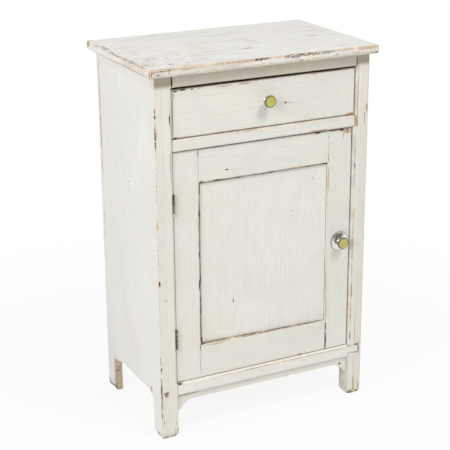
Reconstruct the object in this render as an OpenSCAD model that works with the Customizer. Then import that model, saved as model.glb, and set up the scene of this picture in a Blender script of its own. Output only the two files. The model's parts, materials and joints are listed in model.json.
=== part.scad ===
// Bedside pot cupboard: one drawer over one framed and panelled door, on four cut feet.
// Carcass axes: X across, centred; Y from the posts' front face to the back; Z up from the floor.

/* [Carcass] */
// Height from the floor to the top surface
cab_h = 780; // [700:1:860]
// Width over the two side boards
cab_w = 478; // [430:1:560]
// Depth from the front of the posts to the back of the planks
cab_d = 296; // [250:1:360]
// Thickness of the side boards
side_t = 17.5; // [14:0.5:22]
// Thickness of the bottom board
bottom_t = 15; // [10:0.5:20]
// Depth of the grooves that hold the bottom board in the sides
housing_d = 6; // [3:0.5:9]

/* [Top board] */
// Thickness of the top board
top_t = 18; // [14:0.5:24]
// How far the top passes each side board
top_over_side = 15; // [6:0.5:30]
// How far the top passes the posts
top_over_front = 16; // [16:0.5:30]
// How far the top passes the back planks
top_over_back = 16; // [0:0.5:30]
// Radius of the rounded edge of the top
top_nose_r = 5; // [2:0.5:6.5]
// Radius of the top's corners, seen from above
top_corner_r = 8; // [3:0.5:16]

/* [Front posts] */
// Depth of the posts, front to back
post_d = 34; // [30:1:44]
// Width of the left post beside its side board
post_w_left = 20; // [16:0.5:30]
// Width of the right post beside its side board
post_w_right = 16; // [15:0.5:30]
// How far the right post is pared back beside the drawer
post_relief = 4; // [0.5:0.5:5]
// Width of the worn chamfer on the posts' inner front edges
post_chamfer = 4.5; // [1:0.5:4.5]

/* [Rails] */
// Height of the rail under the top
top_rail_h = 24; // [18:0.5:36]
// Height of the drawer opening
drawer_opening_h = 102.5; // [80:0.5:140]
// Height of the rail between the drawer and the door
divider_h = 23.5; // [18:0.5:32]
// Depth of the rail between the drawer and the door
divider_d = 45; // [40:1:70]
// Height of the underside of the bottom rail above the floor
bottom_rail_z = 94.5; // [84:0.5:120]
// Height of the bottom rail
bottom_rail_h = 26.5; // [22:0.5:40]
// Thickness of the bottom rail
bottom_rail_t = 20; // [14:0.5:26]
// Width of the worn chamfer on the bottom rail
rail_chamfer = 4; // [1:0.5:6]
// Length of the stub tenons on the rails
tenon_l = 8; // [5:0.5:9]
// Thickness of the stub tenons, front to back
tenon_t = 12; // [8:0.5:14]
// Distance from the posts' front to the stub tenons
tenon_set = 5; // [4:0.5:7]
// Height of the tongue lapped over the right post
tongue_h = 17.5; // [12:0.5:20]
// Length of the tongue lapped over the right post
tongue_l = 25.5; // [18:0.5:29]
// Thickness of the tongue lapped over the right post
tongue_t = 8; // [5:0.5:11]
// Height of the rail behind the drawer, under the top
back_rail_h = 40; // [36:0.5:60]
// Thickness of the rail behind the drawer
back_rail_t = 18; // [12:0.5:22]

/* [Feet and apron] */
// Width of the front foot in the side board
foot_w_front = 41; // [36:1:60]
// Width of the back foot in the side board
foot_w_back = 27; // [20:1:60]
// Height of the arch in the side board
arch_h = 90; // [70:1:92]
// Radius of the arch's front corner
arch_r = 28; // [10:1:40]
// How much lower the arch ends at the back foot
arch_drop = 12; // [0:1:20]
// Length of the arch's falling stretch
arch_fall_l = 56; // [20:1:80]
// Size of the worn bevel under the feet
foot_bevel = 4; // [1:0.5:5]
// Thickness of the apron
apron_t = 14; // [10:0.5:18]
// How far the apron lies behind the bottom rail's face
apron_set = 6; // [2:0.5:10]
// Height of the apron between its brackets
apron_h = 17; // [10:0.5:30]
// Height of the brackets below the apron's edge
bracket_h = 24; // [10:0.5:36]
// Length of each bracket
bracket_l = 30; // [12:0.5:60]

/* [Back] */
// Thickness of the back planks
back_t = 13; // [9:0.5:16]
// Height of the planks' lower edge above the floor
plank_z = 78; // [60:1:90]
// Length of the planks' tongues
plank_tongue_l = 5; // [3:0.5:7]
// Thickness of the planks' tongues
plank_tongue_t = 4; // [3:0.5:5]
// Radius of the nails' shanks
nail_r = 1.1; // [0.8:0.1:1.6]
// Length of the nails
nail_l = 26; // [20:1:30]

/* [Door] */
// How far the door and drawer fronts lie behind the posts' front
recess = 5; // [4:0.5:7]
// Thickness of the door frame
door_t = 20; // [18:0.5:24]
// Gap on the hinge side of the door
door_gap_hinge = 1.5; // [1:0.1:2]
// Gap on the lock side of the door
door_gap_lock = 2.5; // [1:0.1:4]
// Gap over the door
door_gap_top = 2.5; // [1:0.1:4]
// Gap under the door
door_gap_bottom = 1.5; // [0.5:0.1:3]
// Width of the hinge stile
hinge_stile_w = 54; // [44:0.5:80]
// Width of the lock stile
lock_stile_w = 54.5; // [50:0.5:80]
// Height of the door's top rail
door_top_rail_h = 68; // [50:0.5:90]
// Height of the door's bottom rail at the hinge stile
door_bottom_rail_h = 75; // [60:0.5:100]
// How much narrower the bottom rail is at the lock stile
door_rail_fall = 8; // [0:0.5:12]
// Thickness of the door panel
panel_t = 8; // [5:0.5:9]
// How far the panel lies behind the frame's face
panel_set = 5; // [4:0.5:7]
// Depth of the groove that holds the panel
groove_d = 9; // [6:0.5:12]
// Length of the door's tenons
door_tenon_l = 30; // [20:0.5:38]
// Thickness of the door's tenons
door_tenon_t = 6; // [5:0.5:7]

/* [Hinges] */
// Height of each hinge
hinge_h = 45; // [40:0.5:60]
// Width of a hinge leaf from the pin
leaf_w = 16; // [12:0.5:18]
// Thickness of a hinge leaf
leaf_t = 1.6; // [1.2:0.1:1.8]
// Outer radius of the hinge knuckles
knuckle_r = 3; // [2.6:0.1:3.4]
// Radius of the hinge pins
pin_r = 1.5; // [1:0.1:1.8]
// How far the pins stand in front of the door's face
pin_proud = 2.5; // [2:0.1:3]
// Distance from the door's top to the middle of the upper hinge
hinge_drop = 106.5; // [60:0.5:140]
// Distance from the door's bottom to the middle of the lower hinge
hinge_rise = 94; // [60:0.5:140]
// Radius of the hinge screws
screw_r = 1.4; // [1:0.1:1.6]
// Length of the hinge screws behind the leaf
screw_l = 12; // [8:0.5:14]

/* [Knobs] */
// Radius of the rose on the door
rose_r = 20.5; // [16:0.5:23]
// Thickness of the rose at its middle
rose_t = 4; // [2.5:0.5:6]
// Radius of the knobs' rims
knob_r = 12.7; // [10:0.1:16]
// How far the knobs stand out from the wood
knob_l = 19; // [16:0.5:21]
// Radius of the coloured faces in the knobs
face_r = 10.8; // [8:0.1:13]
// Distance from the door's lock edge to its knob
door_knob_edge = 24; // [24:0.5:30]
// Height of the drawer's knob above the middle of its front
drawer_knob_rise = 5; // [0:0.5:15]
// Radius of the door knob's spindle
spindle_r = 3.5; // [2.5:0.1:4]
// How far the catch passes behind the right post
catch_reach = 11; // [6:0.5:13]
// Width of the catch
catch_w = 11; // [8:0.5:14]
// Thickness of the catch
catch_t = 3; // [2:0.5:4]
// Radius of the drawer knob's bolt
bolt_r = 2.5; // [1.5:0.1:3]

/* [Drawer] */
// Thickness of the drawer front
front_t = 20; // [17:0.5:24]
// Gap on each side of the drawer front
drawer_gap_side = 1.5; // [0.8:0.1:2.5]
// Gap over the drawer front
drawer_gap_top = 3.5; // [2:0.1:5]
// Gap under the drawer front
drawer_gap_bottom = 1; // [0.5:0.1:2]
// Thickness of the drawer sides
drawer_side_t = 11; // [8:0.5:13]
// Thickness of the drawer back
drawer_back_t = 10; // [8:0.5:12]
// Thickness of the drawer bottom
drawer_bottom_t = 6; // [4:0.5:8]
// Height of the drawer bottom above the sides' lower edge
drawer_bottom_rise = 9; // [8.5:0.5:14]
// Depth of the grooves for the drawer bottom
drawer_groove_d = 5; // [3:0.5:6]
// Space left behind the drawer
drawer_back_gap = 7; // [4:0.5:20]
// Wood left in front of the dovetails
dovetail_lap = 6; // [4:0.5:8]
// Number of dovetails at each corner
dovetail_n = 3; // [2:1:5]
// Spread of each side of a dovetail over its length
dovetail_spread = 2.4; // [1:0.1:3]
// Width of the narrow end of the pins
pin_w = 7; // [6.5:0.5:9]

/* [Runners] */
// Thickness of the drawer runners
runner_t = 16; // [12:0.5:22]
// How far a runner passes under the drawer side, inwards
runner_lip = 16; // [14:0.5:30]
// Height of the guides on the runners
guide_h = 15; // [8:0.5:30]

/* [Fits] */
// Clearance of glued joints
glue_gap = 0.1; // [0.05:0.01:0.2]
// Clearance of moving faces
run_gap = 0.3; // [0.25:0.05:0.5]
// Radial clearance of the hinge pins
pin_gap = 0.06; // [0.03:0.01:0.1]

/* [Hidden] */
$fn = 48;
CUT = 1; // overshoot of cutting shapes

arris = 1.5;              // bevel on edges that hands have rubbed
ease = 2;                 // wider bevel on rails, planks and the drawer front
tenon_shoulder = 4;       // wood over and under a rail's stub tenon
tongue_drop = 2.5;        // how far the lapped tongue lies under the rail's top
bracket_knee = [0.64, 0.24]; // where a bracket's outline bends, as shares of its length and height
plank_n = 3;              // back planks, one node each
nail_head_t = 1;
nail_head_k = 2.3;        // a nail head's radius over its shank's
slot_w = 0.8;             // driver slot of a top screw
slot_d = 0.8;
leaf_slot_w = 0.6;        // driver slot of a hinge screw
leaf_slot_d = 0.5;
knuckle_room = 0.5;       // space round a knuckle
knuckle_end_room = 1.5;   // space over and under the knuckles
pin_head_rim = 0.7;
pin_head_t = 1;
screw_share = 0.34;       // places of the outer hinge screws, as a share of the hinge's height
screw_depth_share = 0.62; // place of the hinge screws across the leaf
spindle_room = 0.5;
catch_boss_rim = 3;
catch_eye_rim = 1;
knob_bore_l = 10;         // depth of the bore in a knob
thread_out = 2;           // thread that shows behind a nut
stop_l = 30;
door_stop_h = 14;
drawer_stop_drop = 1.5;   // how far the drawer stops lie under the drawer's bottom
side_drop = 3;            // how far the drawer sides end under the front's top
back_drop = 5;            // how far the drawer back ends under the sides' top
door_tenon_edge = 12;     // wood between a door tenon and the door's edge
door_tenon_room = 2;      // wood between a door tenon and the panel's groove
panel_play = 1;           // room for the panel to swell in its groove
drawer_nail_l = 15;       // length of a drawer nail above the bottom
drawer_nail_share = 0.34; // place of the outer drawer nails over the drawer's width

PAINT = [0.90, 0.89, 0.84];
BARE = [0.76, 0.62, 0.46];
STEEL = [0.45, 0.43, 0.40];
CHROME = [0.80, 0.80, 0.82];
LIME = [0.73, 0.70, 0.30];

// The origin lies on the floor under the middle of the whole object.
mid_y = (cab_d + top_over_back - top_over_front) / 2;

side_in = cab_w / 2 - side_t;             // inner face of a side board
open_l = -side_in + post_w_left;          // opening's left edge
open_r = side_in - post_w_right;          // door opening's right edge
drawer_open_r = open_r + post_relief;     // drawer opening's right edge
planks_y = cab_d - back_t;                // front face of the back planks
top_under = cab_h - top_t;
top_rail_z = top_under - top_rail_h;
divider_top = top_rail_z - drawer_opening_h;
divider_z = divider_top - divider_h;
floor_z = bottom_rail_z + bottom_rail_h;  // top of the bottom rail and bottom board
back_rail_y = planks_y - back_rail_t;
arch_end = planks_y - foot_w_back;

door_l = open_l + door_gap_hinge;
door_r = open_r - door_gap_lock;
door_z0 = floor_z + door_gap_bottom;
door_z1 = divider_z - door_gap_top;
door_back = recess + door_t;
door_h = door_z1 - door_z0;
panel_l = door_l + hinge_stile_w;
panel_r = door_r - lock_stile_w;
panel_top = door_z1 - door_top_rail_h;
panel_low_l = door_z0 + door_bottom_rail_h;
panel_low_r = panel_low_l - door_rail_fall;
tenon_mid = recess + panel_set + panel_t / 2;

hinge_x = open_l + door_gap_hinge / 2;
hinge_y = recess - pin_proud;
hinge_zs = [door_z1 - hinge_drop, door_z0 + hinge_rise];
knuckle_n = 5;
knuckle_h = hinge_h / knuckle_n;
screw_zs = [-screw_share * hinge_h, 0, screw_share * hinge_h];
screw_y = hinge_y + screw_depth_share * leaf_w;
screw_head_r = 2 * screw_r;

door_knob_x = door_r - door_knob_edge;
door_knob_z = (door_z0 + door_z1) / 2;
catch_y = post_d + run_gap;
catch_tip = door_knob_edge + door_gap_lock + catch_reach;
nut_t = 4;
spindle_hole_r = spindle_r + spindle_room;

drawer_l = open_l + drawer_gap_side;
drawer_r = drawer_open_r - drawer_gap_side;
drawer_z0 = divider_top + run_gap;        // lower edge of the drawer sides
front_z0 = divider_top + drawer_gap_bottom;
front_z1 = top_rail_z - drawer_gap_top;
side_top = front_z1 - side_drop;
drawer_back_y = back_rail_y - drawer_back_gap;
tail_l = front_t - dovetail_lap;
tail_y = recess + dovetail_lap;
front_back = recess + front_t;
drawer_bottom_z = drawer_z0 + drawer_bottom_rise;
drawer_knob_x = (drawer_l + drawer_r) / 2;
drawer_knob_z = (front_z0 + front_z1) / 2 + drawer_knob_rise;

// ---------- general shapes ----------

// A box between two corners
module block(lo, hi) translate(lo) cube(hi - lo);

// A rod along Y or X from a point
module rod_y(x, y, z, r, l) translate([x, y, z]) rotate([-90, 0, 0]) cylinder(r = r, h = l);
module rod_x(x, y, z, r, l) translate([x, y, z]) rotate([0, 90, 0]) cylinder(r = r, h = l);

// A prism along X, Y or Z that takes a bevel of width w off the edge through a point
module diamond(w) polygon([[w, 0], [0, w], [-w, 0], [0, -w]]);
module bevel_x(x, y, z, l, w)
    translate([x, y, z]) rotate([90, 0, 90]) linear_extrude(l) diamond(w);
module bevel_y(x, y, z, l, w)
    translate([x, y + l, z]) rotate([90, 0, 0]) linear_extrude(l) diamond(w);
module bevel_z(x, y, z, l, w) translate([x, y, z]) linear_extrude(l) diamond(w);

// A flat bar section a by b, its corners rounded to r
module round_section(a, b, r) {
    translate([r, 0]) square([a - 2 * r, b]);
    translate([0, r]) square([a, b - 2 * r]);
    for (x = [r, a - r], y = [r, b - r]) translate([x, y]) circle(r);
}

// Stub tenon of a front rail: side is -1 for the left end and 1 for the right end
module rail_tenon(x, side, z, h, gap) {
    l = tenon_l + gap;
    block([side > 0 ? x - CUT : x - l, tenon_set - gap, z + tenon_shoulder - gap],
          [side > 0 ? x + l : x + CUT, tenon_set + tenon_t + gap, z + h - tenon_shoulder + gap]);
}

// Puts the carcass axes over the middle of the whole object
module place() translate([0, -mid_y, 0]) children();

// ---------- carcass ----------

// The top's corner screws, as places over the front and back rails
top_screw_x = side_in * 0.56;
top_screw_l = top_rail_h + 2 * top_t / 3;
top_screw_r = 2.2;
top_screw_ys = [post_d / 2, back_rail_y + back_rail_t / 2];

module top_screw_at(i) translate([i[0] * top_screw_x, top_screw_ys[i[1]], top_rail_z]) children();

module top_screw(gap) {
    cylinder(r = top_screw_r + gap, h = top_screw_l + gap);
    cylinder(r1 = 2 * top_screw_r + gap, r2 = top_screw_r + gap, h = top_screw_r);
}

module top_screws() place() color(STEEL)
    for (side = [-1, 1], row = [0, 1]) top_screw_at([side, row]) difference() {
        top_screw(0);
        translate([-2 * top_screw_r, -slot_w / 2, -CUT]) cube([4 * top_screw_r, slot_w, CUT + slot_d]);
    }

module top_screw_holes()
    for (side = [-1, 1], row = [0, 1]) top_screw_at([side, row]) {
        top_screw(glue_gap / 2);
        translate([0, 0, top_rail_h - back_rail_h - CUT])
            cylinder(r = 2 * top_screw_r + glue_gap, h = back_rail_h - top_rail_h + CUT);
    }

// The nosing comes from two crossed bars with rounded sections, cut to the plan with round corners
module top_board() place() color(PAINT) {
    w = cab_w + 2 * top_over_side;
    d = cab_d + top_over_front + top_over_back;
    difference() {
        translate([-w / 2, -top_over_front, top_under]) intersection() {
            rotate([90, 0, 90]) linear_extrude(w) round_section(d, top_t, top_nose_r);
            translate([0, d, 0]) rotate([90, 0, 0]) linear_extrude(d)
                round_section(w, top_t, top_nose_r);
            linear_extrude(top_t) round_section(w, d, top_corner_r);
        }
        top_screw_holes();
    }
}

// The opening between the two feet of a side board, as a Y-Z outline
module arch_outline() {
    translate([foot_w_front, -CUT]) square([arch_end - foot_w_front, arch_h - arch_r + CUT
        - arch_drop]);
    translate([foot_w_front + arch_r, arch_h - arch_r]) circle(arch_r);
    translate([foot_w_front, -CUT]) square([arch_r + CUT, arch_h - arch_r + CUT]);
    polygon([[foot_w_front + arch_r, 0], [arch_end, 0], [arch_end, arch_h - arch_drop],
        [arch_end - arch_fall_l, arch_h], [foot_w_front + arch_r, arch_h]]);
}

// A left-hand side board; side turns it into the right-hand one
module side_board(side) {
    x_in = side_in * side;
    x_out = cab_w / 2 * side;
    difference() {
        block([min(x_in, x_out), 0, 0], [max(x_in, x_out), planks_y, top_under]);
        translate([-cab_w, 0, 0]) rotate([90, 0, 90]) linear_extrude(2 * cab_w) arch_outline();
        bottom_board_solid(glue_gap);
        bevel_x(-cab_w, 0, 0, 2 * cab_w, foot_bevel);
        bevel_y(x_out, -CUT, 0, cab_d, foot_bevel);
        bevel_z(x_out, 0, -CUT, cab_h, arris);
        nail_holes();
        if (side > 0) lapped_tongue(glue_gap);
    }
}

module side_left() place() color(PAINT) side_board(-1);
module side_right() place() color(PAINT) side_board(1);

module post(side, inner) {
    x_out = side_in * side;
    difference() {
        block([min(x_out, inner), 0, 0], [max(x_out, inner), post_d, top_under]);
        bevel_z(inner, 0, floor_z, top_rail_z - floor_z, post_chamfer);
        bevel_z(inner, 0, -CUT, floor_z, arris);
        bevel_x(-cab_w, 0, 0, 2 * cab_w, foot_bevel);
    }
}

module post_left() place() color(PAINT) difference() {
    post(-1, open_l);
    rail_tenon(open_l, -1, top_rail_z, top_rail_h, glue_gap);
    rail_tenon(open_l, -1, divider_z, divider_h, glue_gap);
    rail_tenon(open_l, -1, bottom_rail_z, bottom_rail_h, glue_gap);
    hinge_housings(-1);
    for (z = hinge_zs) hinge_screws(z, -1, 0);
}

module post_right() place() color(PAINT) difference() {
    post(1, open_r);
    block([open_r - CUT, -CUT, divider_z], [drawer_open_r, cab_d, cab_h]);
    bevel_z(drawer_open_r, 0, divider_z, top_rail_z - divider_z, post_chamfer);
    rail_tenon(drawer_open_r, 1, top_rail_z, top_rail_h, glue_gap);
    rail_tenon(drawer_open_r, 1, divider_z, divider_h, glue_gap);
    lapped_tongue(glue_gap);
}

module top_rail() place() color(PAINT) difference() {
    union() {
        block([open_l, 0, top_rail_z], [drawer_open_r, post_d, top_under]);
        rail_tenon(open_l, -1, top_rail_z, top_rail_h, 0);
        rail_tenon(drawer_open_r, 1, top_rail_z, top_rail_h, 0);
    }
    bevel_x(-cab_w, 0, top_rail_z, 2 * cab_w, ease);
    top_screw_holes();
}

module divider_rail() place() color(PAINT) difference() {
    union() {
        block([open_l, 0, divider_z], [drawer_open_r, divider_d, divider_top]);
        rail_tenon(open_l, -1, divider_z, divider_h, 0);
        rail_tenon(drawer_open_r, 1, divider_z, divider_h, 0);
    }
    bevel_x(-cab_w, 0, divider_z, 2 * cab_w, arris);
    bevel_x(-cab_w, 0, divider_top, 2 * cab_w, ease);
    // the front corner shows a small gap beside the right post
    bevel_z(drawer_open_r, 0, divider_z - CUT, divider_h + 2 * CUT, ease);
}

// The tongue that runs from the bottom rail across the faces of the right post and side
module lapped_tongue(gap)
    block([open_r - CUT, -gap, floor_z - tongue_drop - tongue_h - gap],
          [open_r + tongue_l + gap, tongue_t + gap, floor_z - tongue_drop + gap]);

module bottom_rail() place() color(PAINT) difference() {
    union() {
        block([open_l, 0, bottom_rail_z], [open_r, bottom_rail_t, floor_z]);
        rail_tenon(open_l, -1, bottom_rail_z, bottom_rail_h, 0);
        lapped_tongue(0);
    }
    bevel_x(-cab_w, 0, floor_z, cab_w + open_r, rail_chamfer);
    bevel_x(-cab_w, 0, bottom_rail_z, cab_w + open_r, arris);
}

// Shaped board under the bottom rail, with a bracket into each post
module apron() place() color(PAINT) {
    low = bottom_rail_z - apron_h;
    tip = low - bracket_h;
    knee = bracket_l * bracket_knee[0];
    knee_z = low - bracket_h * bracket_knee[1];
    translate([0, apron_set + apron_t, 0]) rotate([90, 0, 0]) linear_extrude(apron_t)
        polygon([[open_l, bottom_rail_z], [open_l, tip], [open_l + knee, knee_z],
            [open_l + bracket_l, low], [open_r - bracket_l, low],
            [open_r - knee, knee_z], [open_r, tip], [open_r, bottom_rail_z]]);
}

// The bottom board, grown by gap where it cuts its housings in the sides
module bottom_board_solid(gap) {
    x = side_in + housing_d + gap;
    difference() {
        block([-x, bottom_rail_t - gap, floor_z - bottom_t - gap], [x, planks_y + gap, floor_z + gap]);
        block([-cab_w, -CUT, 0], [open_l - gap, post_d - gap, cab_h]);
        block([open_r + gap, -CUT, 0], [cab_w, post_d - gap, cab_h]);
    }
}

module bottom_board() place() color(BARE) difference() {
    bottom_board_solid(0);
    nail_holes();
}

module back_rail() place() color(BARE) difference() {
    block([-side_in, back_rail_y, top_under - back_rail_h], [side_in, planks_y, top_under]);
    top_screw_holes();
    nail_holes();
}

// ---------- back planks ----------

plank_w = cab_w / plank_n;

// One plank; its tongue lies on its right edge, except on the last
module plank(i) {
    x0 = -cab_w / 2 + i * plank_w;
    x1 = x0 + plank_w;
    mid = planks_y + back_t / 2;
    difference() {
        union() {
            block([x0 + (i > 0 ? glue_gap : 0), planks_y, plank_z], [x1, cab_d, top_under]);
            if (i < plank_n - 1)
                block([x1 - CUT, mid - plank_tongue_t / 2, plank_z],
                      [x1 + plank_tongue_l, mid + plank_tongue_t / 2, top_under]);
            if (i == 0) block([x0, planks_y, 0], [x0 + side_t, cab_d, plank_z + CUT]);
            if (i == plank_n - 1) block([x1 - side_t, planks_y, 0], [x1, cab_d, plank_z + CUT]);
        }
        if (i > 0) block([x0 - CUT, mid - plank_tongue_t / 2 - glue_gap, plank_z - CUT],
            [x0 + plank_tongue_l + glue_gap, mid + plank_tongue_t / 2 + glue_gap, cab_h]);
        if (i > 0) bevel_z(x0, cab_d, 0, cab_h, ease);
        if (i < plank_n - 1) bevel_z(x1, cab_d, 0, cab_h, ease);
        bevel_x(-cab_w, cab_d, 0, 2 * cab_w, foot_bevel);
        for (x = [-cab_w / 2, cab_w / 2]) {
            bevel_y(x, 0, 0, cab_d + CUT, foot_bevel);
            bevel_z(x, cab_d, -CUT, cab_h, arris);
        }
        nail_holes();
    }
}

module back_plank_left() place() color(PAINT) plank(0);
module back_plank_middle() place() color(PAINT) plank(1);
module back_plank_right() place() color(PAINT) plank(2);

// Nails: two a plank into the back rail and into the bottom board, and three down each side
nail_rows = [top_under - back_rail_h / 2, floor_z - bottom_t / 2];
nail_side_zs = [for (i = [1 : 3]) floor_z + i * (top_under - back_rail_h - floor_z) / 4];
nail_places = concat(
    [for (i = [0 : plank_n - 1], s = [0.25, 0.75], z = nail_rows)
        [-cab_w / 2 + (i + s) * plank_w, z]],
    [for (side = [-1, 1], z = nail_side_zs) [side * (cab_w - side_t) / 2, z]]);

module nails(gap) for (p = nail_places) {
    rod_y(p[0], cab_d - nail_l - gap, p[1], nail_r + gap, nail_l);
    rod_y(p[0], cab_d - nail_head_t - gap, p[1], nail_head_k * nail_r + gap,
        gap > 0 ? nail_head_t + CUT : nail_head_t);
}

module nail_holes() nails(glue_gap / 2);
module back_nails() place() color(STEEL) nails(0);

// ---------- runners ----------

// A strip along Y between a side board and the edge x of the drawer's path
module strip(side, x, y0, y1, z0, z1)
    block([min(side * side_in, x), y0, z0], [max(side * side_in, x), y1, z1]);

module runner_left() place() color(BARE)
    strip(-1, open_l + runner_lip, divider_d, planks_y, divider_top - runner_t, divider_top);
module runner_right() place() color(BARE)
    strip(1, drawer_open_r - runner_lip, divider_d, planks_y, divider_top - runner_t,
        divider_top);
module guide_left() place() color(BARE)
    strip(-1, open_l, post_d, planks_y, divider_top, divider_top + guide_h);
module guide_right() place() color(BARE)
    strip(1, drawer_open_r, post_d, planks_y, divider_top, divider_top + guide_h);
module kicker_left() place() color(BARE)
    strip(-1, open_l + runner_lip, post_d, back_rail_y, top_rail_z, top_under);
module kicker_right() place() color(BARE)
    strip(1, drawer_open_r - runner_lip, post_d, back_rail_y, top_rail_z, top_under);

// Two blocks on the divider rail stop the drawer front when it is pushed home
module drawer_stops() place() color(BARE)
    for (side = [-1, 1]) {
        x = side * side_in * 0.5;
        block([x - stop_l / 2, front_back + run_gap, divider_top],
              [x + stop_l / 2, divider_d, divider_top + drawer_bottom_rise - drawer_stop_drop]);
    }

// One block under the divider rail stops the door
module door_stop() place() color(BARE) {
    x = open_r - 4 * stop_l;
    block([x - stop_l, door_back + run_gap, divider_z - door_stop_h],
        [x + stop_l, divider_d, divider_z]);
}

// ---------- hinges ----------

// Space round a knuckle, cut from the post and from the door
module knuckle_space(z)
    translate([hinge_x, hinge_y, z - hinge_h / 2 - knuckle_end_room])
        cylinder(r = knuckle_r + knuckle_room, h = hinge_h + 2 * knuckle_end_room);

// Leaf plate, let in flush: side is -1 on the post and 1 on the door
module leaf_plate(z, side, gap) {
    x_face = side < 0 ? open_l : door_l;
    x_deep = x_face + side * (leaf_t + gap);
    block([min(x_face, x_deep), hinge_y, z - hinge_h / 2 - gap],
          [max(x_face, x_deep), hinge_y + leaf_w + gap, z + hinge_h / 2 + gap]);
}

module hinge_housings(side) for (z = hinge_zs) {
    knuckle_space(z);
    leaf_plate(z, side, glue_gap);
}

// Knuckles of one leaf: the post leaf has the first, third and fifth
module knuckles(z, first) for (i = [first : 2 : knuckle_n - 1])
    translate([hinge_x, hinge_y, z - hinge_h / 2 + i * knuckle_h + run_gap / 2])
        cylinder(r = knuckle_r, h = knuckle_h - run_gap);

// Notches that leave room for the other leaf's knuckles
module knuckle_notches(z, first) for (i = [first : 2 : knuckle_n - 1])
    translate([hinge_x, hinge_y, z - hinge_h / 2 + i * knuckle_h - run_gap / 2])
        cylinder(r = knuckle_r + run_gap, h = knuckle_h + run_gap);

module leaf(z, side) difference() {
    union() {
        difference() {
            leaf_plate(z, side, 0);
            knuckle_notches(z, side < 0 ? 1 : 0);
        }
        knuckles(z, side < 0 ? 0 : 1);
    }
    translate([hinge_x, hinge_y, z - hinge_h]) cylinder(r = pin_r + pin_gap, h = 2 * hinge_h);
    hinge_screws(z, side, glue_gap / 2);
}

module hinge_screws(z, side, gap) {
    x_face = side < 0 ? open_l : door_l;
    for (dz = screw_zs) translate([x_face, screw_y, z + dz]) rotate([0, side * 90, 0]) {
        translate([0, 0, -gap]) cylinder(r = screw_r + gap, h = leaf_t + screw_l + 2 * gap);
        translate([0, 0, -gap]) cylinder(r1 = screw_head_r + gap, r2 = screw_r + gap,
            h = leaf_t);
    }
}

// Hinge screws with a driver slot in each head
module slotted_screws(side) for (z = hinge_zs) difference() {
    hinge_screws(z, side, 0);
    for (dz = screw_zs) translate([side < 0 ? open_l : door_l, screw_y, z + dz])
        cube([2 * leaf_slot_d, 2 * screw_head_r, leaf_slot_w], center = true);
}

module hinge_pin(z) translate([hinge_x, hinge_y, z - hinge_h / 2]) {
    cylinder(r = pin_r, h = hinge_h);
    for (z = [-pin_head_t, hinge_h]) translate([0, 0, z])
        cylinder(r = pin_r + pin_head_rim, h = pin_head_t);
}

module hinge_upper_post_leaf() place() color(STEEL) leaf(hinge_zs[0], -1);
module hinge_lower_post_leaf() place() color(STEEL) leaf(hinge_zs[1], -1);
module hinge_upper_door_leaf() place() color(STEEL) leaf(hinge_zs[0], 1);
module hinge_lower_door_leaf() place() color(STEEL) leaf(hinge_zs[1], 1);
module hinge_upper_pin() place() color(STEEL) hinge_pin(hinge_zs[0]);
module hinge_lower_pin() place() color(STEEL) hinge_pin(hinge_zs[1]);
module hinge_screws_post() place() color(STEEL) slotted_screws(-1);
module hinge_screws_door() place() color(STEEL) slotted_screws(1);

// ---------- door ----------

// Panel outline in X-Z, grown by g; its lower edge falls towards the lock stile
module panel_outline(g) polygon([
    [panel_l - g, panel_low_l - g + door_rail_fall * g / (panel_r - panel_l)],
    [panel_r + g, panel_low_r - g - door_rail_fall * g / (panel_r - panel_l)],
    [panel_r + g, panel_top + g], [panel_l - g, panel_top + g]]);

module panel_solid(g, gap) translate([0, recess + panel_set + panel_t + gap, 0])
    rotate([90, 0, 0]) linear_extrude(panel_t + 2 * gap) panel_outline(g);

// Tenons of a door rail between heights z0 and z1, into both stiles
module door_tenons(z0, z1, gap)
    block([panel_l - door_tenon_l - gap, tenon_mid - door_tenon_t / 2 - gap, z0 - gap],
          [panel_r + door_tenon_l + gap, tenon_mid + door_tenon_t / 2 + gap, z1 + gap]);

top_tenon = [panel_top + groove_d + door_tenon_room, door_z1 - door_tenon_edge];
low_tenon = [door_z0 + door_tenon_edge, panel_low_r - groove_d - door_tenon_room];

module stile(x0, x1) difference() {
    block([x0, recess, door_z0], [x1, door_back, door_z1]);
    panel_solid(groove_d + glue_gap, glue_gap);
    door_tenons(top_tenon[0], top_tenon[1], glue_gap);
    door_tenons(low_tenon[0], low_tenon[1], glue_gap);
}

module door_hinge_stile() place() color(PAINT) difference() {
    stile(door_l, panel_l);
    hinge_housings(1);
    for (z = hinge_zs) hinge_screws(z, 1, 0);
}

module door_lock_stile() place() color(PAINT) difference() {
    stile(panel_r, door_r);
    rod_y(door_knob_x, -CUT, door_knob_z, spindle_hole_r, cab_d);
}

module door_top_rail() place() color(PAINT) difference() {
    union() {
        block([panel_l, recess, panel_top], [panel_r, door_back, door_z1]);
        door_tenons(top_tenon[0], top_tenon[1], 0);
    }
    panel_solid(groove_d + glue_gap, glue_gap);
}

module door_bottom_rail() place() color(PAINT) difference() {
    union() {
        translate([0, door_back, 0]) rotate([90, 0, 0]) linear_extrude(door_t)
            polygon([[panel_l, door_z0], [panel_r, door_z0], [panel_r, panel_low_r],
                [panel_l, panel_low_l]]);
        door_tenons(low_tenon[0], low_tenon[1], 0);
    }
    panel_solid(groove_d + glue_gap, glue_gap);
}

module door_panel() place() color(PAINT) panel_solid(groove_d - panel_play, 0);

// ---------- knobs ----------

// Revolved about a knob's axis: the outline's x is the radius, its y the distance out of the wood
module turned(x, y, z) translate([x, y, z]) rotate([90, 0, 0]) rotate_extrude() children();

neck_r = 5;
collar_r = 7.5;
face_d = 3;       // depth of the recess for the face
face_rest = 1;    // the face's rim lies this far under the knob's rim
crown_r = 45;     // radius of the face's crown, and how far it stands out of the knob
crown_h = 0.6;

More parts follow.
